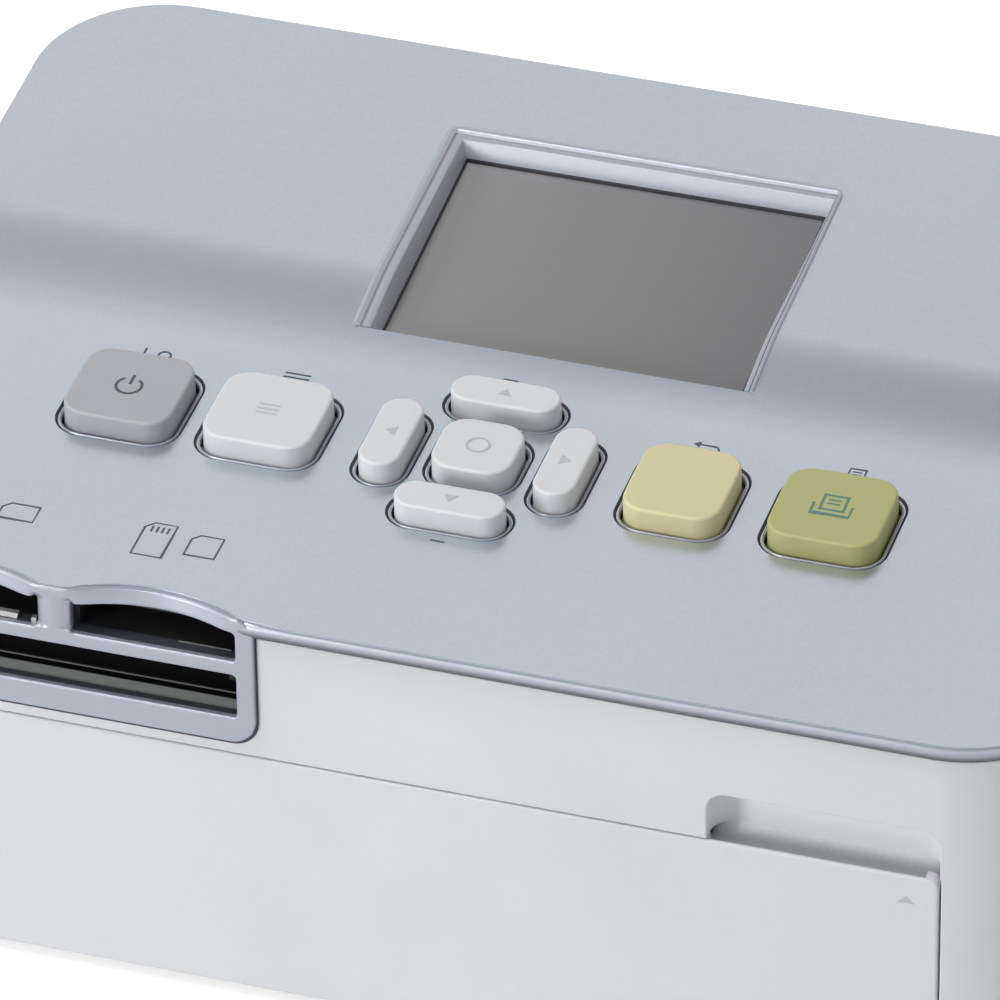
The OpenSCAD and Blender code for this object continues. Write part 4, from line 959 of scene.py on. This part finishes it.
def rail_shift(inset, y):
    """How much further out points lie on the right, whose rail is narrower; inset is at most 6."""
    back = fade((y - 2) / 40)
    stops = ((0.0, 0.0), (1.34, 0.60), (1.56, 0.70), (2.66, 1.35 - 0.45 * back), (3.5, 1.5 - 0.45 * back),
             (6.0, 4.0 - 0.45 * back))
    for (a, shift_a), (b, shift_b) in zip(stops, stops[1:]):
        if inset <= b:
            return inset - (shift_a + (shift_b - shift_a) * (inset - a) / (b - a)) + 0.2 * back


def rim_path(inset, y0):
    """U-shaped path from the right front end round the back, inset from the frame's outer edge."""
    r, cut = max(0.0, RIM_CORNER - inset), max(RIM_CORNER, inset)
    cx, cy = RIM_W / 2 - cut, RIM_Y1 - cut
    xi, yi = RIM_W / 2 - inset, RIM_Y1 - inset
    side = 30
    pts = [(xi, y0 + (cy - y0) * i / side) for i in range(side)]
    pts += [(cx + r * math.cos(a), cy + r * math.sin(a)) for a in turn(0, 90, 12)]
    pts += [(cx - 2 * cx * i / 8, yi) for i in range(1, 8)]
    pts += [(-cx + r * math.cos(a), cy + r * math.sin(a)) for a in turn(90, 180, 12)]
    pts += [(-xi, cy + (y0 - cy) * i / side) for i in range(1, side + 1)]
    return [(x + max(0.0, x) / xi * rail_shift(inset, y), y) for x, y in pts]


def display_rim():
    """Frame of the display: a rounded ridge, a groove, a flat and the drafted inner walls."""
    paths = [[(x, y, top_z(y) + up) for x, y in rim_path(inset, RIM_FRONT)] for inset, up in RIM_PROFILE]
    head, foot = rim_path(WALL_HEAD, RIM_FRONT), rim_path(WALL_FOOT, RIM_FRONT)
    for t in (0.04, 0.5, 1.0):
        path = []
        for (x0, y0), (x1, y1) in zip(head, foot):
            z0, z1 = top_z(y0) - 0.04, glass_z(y1, SEAL_H)
            path.append((x0 + (x1 - x0) * t, y0 + (y1 - y0) * t, z0 + (z1 - z0) * t))
        paths.append(path)
    for inset in (WALL_FOOT, RIM_PROFILE[0][0]):
        paths.append([(x, y, glass_z(y, -0.3)) for x, y in rim_path(inset, RIM_FRONT)])
    piece("display_frame_round", *wrap(paths), "housing", "frame_silver", replaces=("display_frame",),
          sharp=33)


def display_seal():
    """Black gasket under the glass with a thin lip that shows along the feet of the walls."""
    # inset from the feet, height over the glass, extra width at the right
    profile = ((-0.5, -1.4, 0.0), (-0.5, SEAL_H - 0.05, 0.0), (0.02, SEAL_H - 0.02, 0.0),
               (0.08, SEAL_H - 0.12, 0.0), (0.14, 0.02, 0.95), (0.14, -0.02, 0.95), (1.3, -1.02, 0.0),
               (1.3, -1.4, 0.0))
    paths = []
    for inset, up, wide in profile:
        path = rim_path(WALL_FOOT + inset, GLASS_Y0 - 0.9)
        paths.append([(x - wide * fade((x - 20) / 4), y, glass_z(y, up)) for x, y in path])
    piece("display_seal", *wrap(paths), "housing", "black_plastic", "black_plastic", ("display_gasket",))


def glass_slab():
    """The display glass, reaching under the narrow right rail, with a fine polished edge."""
    x0, x1, y0, y1 = -25.7, 27.0, GLASS_Y0 - 1.2, GLASS_Y0 + GLASS_D + 0.9
    mid_x, mid_y = (x0 + x1) / 2, (y0 + y1) / 2
    rings = []
    for cut, up in ((0.05, -1.0), (0.0, -0.95), (0.0, -0.06), (0.06, 0.0), (3.0, 0.0)):
        ring = outline(x1 - x0 - 2 * cut, y1 - y0 - 2 * cut, 0.6)
        rings.append([(x + mid_x, y + mid_y, glass_z(y + mid_y, up)) for x, y in ring])
    piece("display_glass_slab", *loft(rings), "housing", "display_glass", replaces=("display_glass",))


# ---- finger recess ----
RECESS_Y1 = FRONT_Y + RECESS_D


def recess_sill():
    """Floor of the finger recess behind the door's thin upper edge, curved up into its back wall."""
    front, floor_z, sunk = -60.75, 39.05, RECESS_Y1 + 0.4
    curve_y, run, rise = -59.4, 2.15, 1.95
    section = [(sunk, floor_z - 0.25), (front, floor_z - 0.25), (front, floor_z - 0.1),
               (front + 0.05, floor_z - 0.03), (front + 0.15, floor_z)]
    section += [(curve_y + run * math.sin(a), floor_z + rise - rise * math.cos(a)) for a in turn(0, 90, 12)]
    section.append((sunk, floor_z + rise))
    verts, faces = bar((RECESS_X0 - 0.1, 50.0, 56.0, 62.0, RECESS_X1 + 0.1), section)
    # painted light where the sill curves up into the wall, painted shade on its flat floor
    piece("recess_sill", verts, faces, "housing", "recess_shade", "white_shell", sharp=50.0)


def recess_wall():
    """Painted light on the walls of the finger recess, which are faces of the casing: a lighter copy of its
    white.
    """
    mesh = bpy.data.objects["body_shell_dressed"].data
    mesh.materials.append(MATERIALS["recess_white"])
    # painted light: the recess's own faces take the lighter copy of the casing white
    for face in mesh.polygons:
        x, y, z = face.center / MM
        across = RECESS_X0 - 0.2 < x < RECESS_X1 + 0.2
        if across and FRONT_Y + 0.25 < y < RECESS_Y1 + 0.3 and 36.0 < z < 47.0:
            face.material_index = 1


# ---- printed symbols ----
PRINT_GAP = 0.002
LEGEND_Y = -10.7


def ribbon(points, width, closed=False):
    """Flat stroke of even width along a polyline: two rows of points and their faces.

    A point may be doubled: the length between the two is then taken as 1.
    """
    n = len(points)
    left, right = [], []
    for i, (x, y) in enumerate(points):
        a = points[i - 1] if closed or i else points[i]
        b = points[(i + 1) % n] if closed or i < n - 1 else points[i]
        dx, dy = b[0] - a[0], b[1] - a[1]
        size = math.hypot(dx, dy) or 1.0
        nx, ny = -dy / size, dx / size
        bend = 1.0
        if closed or 0 < i < n - 1:
            ux, uy = x - a[0], y - a[1]
            s = math.hypot(ux, uy) or 1.0
            bend = max(0.5, abs((-uy / s) * nx + (ux / s) * ny))
        h = width / 2 / bend
        left.append((x + nx * h, y + ny * h))
        right.append((x - nx * h, y - ny * h))
    faces = [(i, i + 1, n + i + 1, n + i) for i in range(n - 1)]
    if closed:
        faces.append((n - 1, 0, n, 2 * n - 1))
    return left + right, faces


def circle(cx, cy, r, start=0.0, end=360.0, steps=28):
    """Points on a circle or an arc; a full circle leaves out its last point."""
    angles = turn(start, end, steps)
    if end - start >= 360:
        angles.pop()
    return [(cx + r * math.cos(a), cy + r * math.sin(a)) for a in angles]


def rect(x0, y0, x1, y1):
    return [(x0, y0), (x1, y0), (x1, y1), (x0, y1)]


def printed(name, shapes, place, body, look, slot, thick=0.03):
    """Solid prints: each shape is a polygon, or (points, faces) of a ribbon."""
    parts = []
    for shape in shapes:
        pts, faces = shape if isinstance(shape, tuple) else (shape, [tuple(range(len(shape)))])
        n = len(pts)
        verts = [place(u, v, 0.0) for u, v in pts] + [place(u, v, thick) for u, v in pts]
        solid_faces = [tuple(reversed(f)) for f in faces] + [tuple(i + n for i in f) for f in faces]
        sides = [side for f in faces for side in zip(f, f[1:] + f[:1])]
        solid_faces += [(a, b, b + n, a + n) for a, b in sides if (b, a) not in sides]
        parts.append((verts, solid_faces))
    piece(name, *join(parts), body, look, slot, sharp=30)


def legend(name, shapes):
    """Dark print on the panel."""
    printed(name, shapes, lambda u, v, w: (u, v, top_z(v) + PRINT_GAP + w), "housing", "ink_dark",
            "black_plastic")


def key_mark(name, node, shapes, look="ink_pale", slot="key_white", thick=0.06):
    """Print on a key's top, in the key's own frame."""
    at = key_plane(*KEYS[node][:2])
    printed(name, shapes, lambda u, v, w: at(u, v, CAP_H + PRINT_GAP + w), node, look, slot, thick)


def power_symbols():
    """Power symbol on its key, with a line and a ring over it on the panel."""
    s = 0.42
    key_mark("power_mark", "key_power", [ribbon(circle(0, -0.1, 1.75, -235, 55, 30), s),
                                         rect(-s / 2, 0.2, s / 2, 2.3)], "ink_dark", "black_plastic", 0.03)
    x, y = POWER_X, LEGEND_Y
    legend("power_legend", [rect(x - 2.1, y - 1.0, x - 1.8, y + 1.0),
                            ribbon(circle(x + 0.9, y, 0.85, steps=24), 0.3, True)])


def panel_legends():
    """Small prints on the panel, over and under the other keys."""
    x, y = MENU_X, LEGEND_Y
    legend("menu_legend", [rect(x - 1.8, y + k - 0.14, x + 1.8, y + k + 0.14) for k in (-0.9, 0, 0.9)])
    # sheet with a plus over the upper direction key, dash under the lower one
    x, y = NAV_X, -4.6
    legend("sheet_legend", [ribbon(rect(x - 2.3, y - 1.0, x - 0.5, y + 1.2), 0.22, True),
                            rect(x + 0.5, y - 0.12, x + 2.3, y + 0.12),
                            rect(x + 1.28, y - 0.9, x + 1.52, y - 0.12),
                            rect(x + 1.28, y + 0.12, x + 1.52, y + 0.9)])
    legend("dash_legend", [rect(x - 1.0, -39.8, x + 1.0, -39.5)])
    # return arrow over the back key
    x, y = BACK_X, LEGEND_Y
    arrow = [(x - 1.2, y + 0.6), (x + 0.9, y + 0.6)]
    arrow += circle(x + 0.9, y - 0.1, 0.7, 90, -90, 10) + [(x - 0.6, y - 0.8)]
    head = [(x - 1.1, y + 1.25), (x - 2.0, y + 0.6), (x - 1.1, y - 0.05)]
    legend("back_legend", [ribbon(arrow, 0.26), head])
    # small sheet over the print key
    x = PRINT_X
    legend("print_legend", [ribbon(rect(x - 1.1, y - 0.9, x + 1.1, y + 1.0), 0.24, True),
                            rect(x - 0.6, y + 0.28, x + 0.6, y + 0.46),
                            rect(x - 0.6, y - 0.3, x + 0.6, y - 0.12)])


def key_symbols():
    """Sheet coming out of a tray on the print key, and faint prints on the white keys."""
    key_mark("print_mark", "key_print",
             [ribbon([(-2.6, 0.3), (-2.6, -1.9), (2.6, -1.9), (2.6, 0.3)], 0.4),
              ribbon(rect(-1.6, -0.9, 1.6, 2.2), 0.36, True),
              rect(-0.9, 1.1, 0.9, 1.4), rect(-0.9, 0.3, 0.9, 0.6)], "ink_teal", "black_plastic", 0.03)
    triangles = {"key_up": [(-1.0, -0.7), (1.0, -0.7), (0, 0.8)],
                 "key_down": [(-1.0, 0.7), (0, -0.8), (1.0, 0.7)],
                 "key_left": [(0.7, -1.0), (0.7, 1.0), (-0.8, 0)],
                 "key_right": [(-0.7, -1.0), (0.8, 0), (-0.7, 1.0)]}
    for node, shape in triangles.items():
        key_mark(node + "_mark", node, [shape])
    key_mark("key_ok_mark", "key_ok", [ribbon(circle(0, 0, 1.5, steps=32), 0.34, True)])
    lines = [rect(-1.5, k - 0.15, 1.5, k + 0.15) for k in (-0.95, 0, 0.95)]
    key_mark("key_menu_mark", "key_menu", lines, thick=0.05)


def card_legends():
    """Outlines of cards over the two arched slots."""
    x0, x1, y0, y1, cut = -40.4, -36.2, -53.0, -46.0, 1.1
    tall = [(x0, y0), (x1, y0), (x1, y1), (x0 + cut, y1), (x0, y1 - cut)]
    small = [(-33.6, -51.4), (-29.4, -51.4), (-29.4, -47.0), (-32.6, -47.0), (-33.6, -48.0)]
    contacts = [rect(x0 + 0.9 + k * 0.75, y1 - 1.9, x0 + 1.2 + k * 0.75, y1 - 0.7) for k in range(4)]
    legend("card_legend_right", [ribbon(tall, 0.24, True), ribbon(small, 0.24, True)] + contacts)
    left = [(-60.0, -50.4), (-55.0, -50.4), (-55.0, -47.1), (-59.0, -47.1), (-60.0, -48.1)]
    legend("card_legend_left", [ribbon(left, 0.24, True)])


def door_symbol():
    """Pale triangle beside the finger recess."""
    printed("door_mark", [[(66.7, 35.8), (69.1, 35.8), (67.9, 37.0)]],
            lambda u, v, w: (u, FRONT_Y - PRINT_GAP - w, v), "front_door", "ink_pale", "black_plastic")


# ---- stage, light and camera ----
def any_ray(tree, *kinds):
    """1 for rays of the kinds named, 0 for the rest."""
    path = add_node(tree, "ShaderNodeLightPath")
    last = path.outputs[kinds[0]]
    for kind in kinds[1:]:
        either = add_node(tree, "ShaderNodeMath", operation="MAXIMUM")
        link_all(tree, (last, either.inputs[0]), (path.outputs[kind], either.inputs[1]))
        last = either.outputs[0]
    return last


def mix_shader(tree, fac, a, b):
    mix = add_node(tree, "ShaderNodeMixShader")
    link_all(tree, (fac, mix.inputs[0]), (a, mix.inputs[1]), (b, mix.inputs[2]))
    return mix.outputs[0]


def sky():
    """White to the camera, a pale backdrop to metal and glass, and soft light to the rest."""
    world = bpy.data.worlds.new("studio")
    bpy.context.scene.world = world
    tree = fresh_tree(world)
    split = add_node(tree, "ShaderNodeSeparateXYZ")
    link_all(tree, (add_node(tree, "ShaderNodeTexCoord").outputs["Generated"], split.inputs[0]))

    def dome(stops, strength):
        """Background from below to overhead; its dimmer parts are bluer."""
        tones = [(pos, (v, v * (1.02 - 0.02 * v), v * (1.22 - 0.22 * v))) for pos, v in stops]
        back = add_node(tree, "ShaderNodeBackground", {"Strength": strength})
        link_all(tree, (colour_ramp(tree, split.outputs["Z"], tones), back.inputs["Color"]))
        return back.outputs[0]

    ambient = dome(((0.0, 0.9), (1.0, 1.0)), 0.42)
    mirrored = dome(((0.0, 1.0), (0.70, 1.0), (0.78, 0.74), (0.86, 0.36), (0.94, 0.30), (1.0, 0.45)), 1.0)
    white = add_node(tree, "ShaderNodeBackground", {"Color": (1, 1, 1, 1)})
    lit = mix_shader(tree, any_ray(tree, "Is Glossy Ray", "Is Transmission Ray"), ambient, mirrored)
    seen = mix_shader(tree, any_ray(tree, "Is Camera Ray"), lit, white.outputs[0])
    link_all(tree, (seen, add_node(tree, "ShaderNodeOutputWorld").inputs[0]))


def softbox(name, at, size, power):
    light = bpy.data.lights.new(name, "AREA")
    light.shape = "DISK"
    light.size = size
    light.energy = power
    lamp = add_object(name, light)
    lamp.location = at
    lamp.rotation_mode = "QUATERNION"
    lamp.rotation_quaternion = (-Vector(at)).to_track_quat("-Z", "Y")


def floor():
    """Pale floor: white to the camera and to reflections apart from the object's own shadow."""
    mat = bpy.data.materials.new("floor")
    tree = fresh_tree(mat)
    diffuse = add_node(tree, "ShaderNodeBsdfDiffuse", {"Color": (0.75, 0.75, 0.75, 1)}).outputs[0]
    glow = add_node(tree, "ShaderNodeEmission", {"Strength": 0.62}).outputs[0]
    glowing = add_node(tree, "ShaderNodeAddShader")
    link_all(tree, (diffuse, glowing.inputs[0]), (glow, glowing.inputs[1]))
    seen = any_ray(tree, "Is Camera Ray", "Is Glossy Ray", "Is Transmission Ray")
    surface = mix_shader(tree, seen, diffuse, glowing.outputs[0])
    link_all(tree, (surface, add_node(tree, "ShaderNodeOutputMaterial").inputs[0]))

    reach = 3.0
    mesh = bpy.data.meshes.new("floor")
    mesh.from_pydata([(-reach, -reach, 0), (reach, -reach, 0), (reach, reach, 0), (-reach, reach, 0)], [],
                     [(0, 1, 2, 3)])
    mesh.materials.append(mat)
    add_object("floor", mesh)


def camera():
    """Long lens from the front right, above, turned a little about its own axis."""
    az, el, roll = math.radians(18.246), math.radians(34.679), math.radians(-0.776)
    aim, distance = Vector((0.926, -23.540, 60.0)), 1265.224
    back = Vector((math.sin(az) * math.cos(el), -math.cos(az) * math.cos(el), math.sin(el)))
    level = (-back).cross(Vector((0, 0, 1))).normalized()
    upright = level.cross(-back)
    right = level * math.cos(roll) + upright * math.sin(roll)
    up = upright * math.cos(roll) - level * math.sin(roll)
    data = bpy.data.cameras.new("camera")
    data.lens = 344.239
    data.sensor_width = 36.0
    data.clip_start = 0.05
    data.clip_end = 50
    cam = add_object("camera", data)
    place = Matrix((right, up, back)).transposed().to_4x4()
    place.translation = (aim + back * distance) * MM
    cam.matrix_world = place
    bpy.context.scene.camera = cam


# ---- the whole ----
for key_node in KEYS:
    key_cap(key_node)
recess_sill()
key_rims()
bead()
card_bezel()
bezel_gap_and_painted_shadow()
display_rim()
display_seal()
glass_slab()
slot_details()
power_symbols()
panel_legends()
key_symbols()
card_legends()
door_symbol()
top_panel()
for shell_node in ("body_shell", "ink_door", "base_tray"):
    dress(shell_node)
recess_wall()
dress("front_door", 0.35, lambda a, b: max(a.y, b.y) < FRONT_Y + 0.05)

bpy.context.scene.view_settings.view_transform = "Standard"
sky()
softbox("key_light", (-0.42, -0.22, 1.08), 0.5, 5.6)
softbox("front_light", (-0.58, -0.84, 0.28), 0.36, 4.3)
softbox("fill_light", (0.9, -0.6, 1.0), 1.2, 1.2)
floor()
camera()
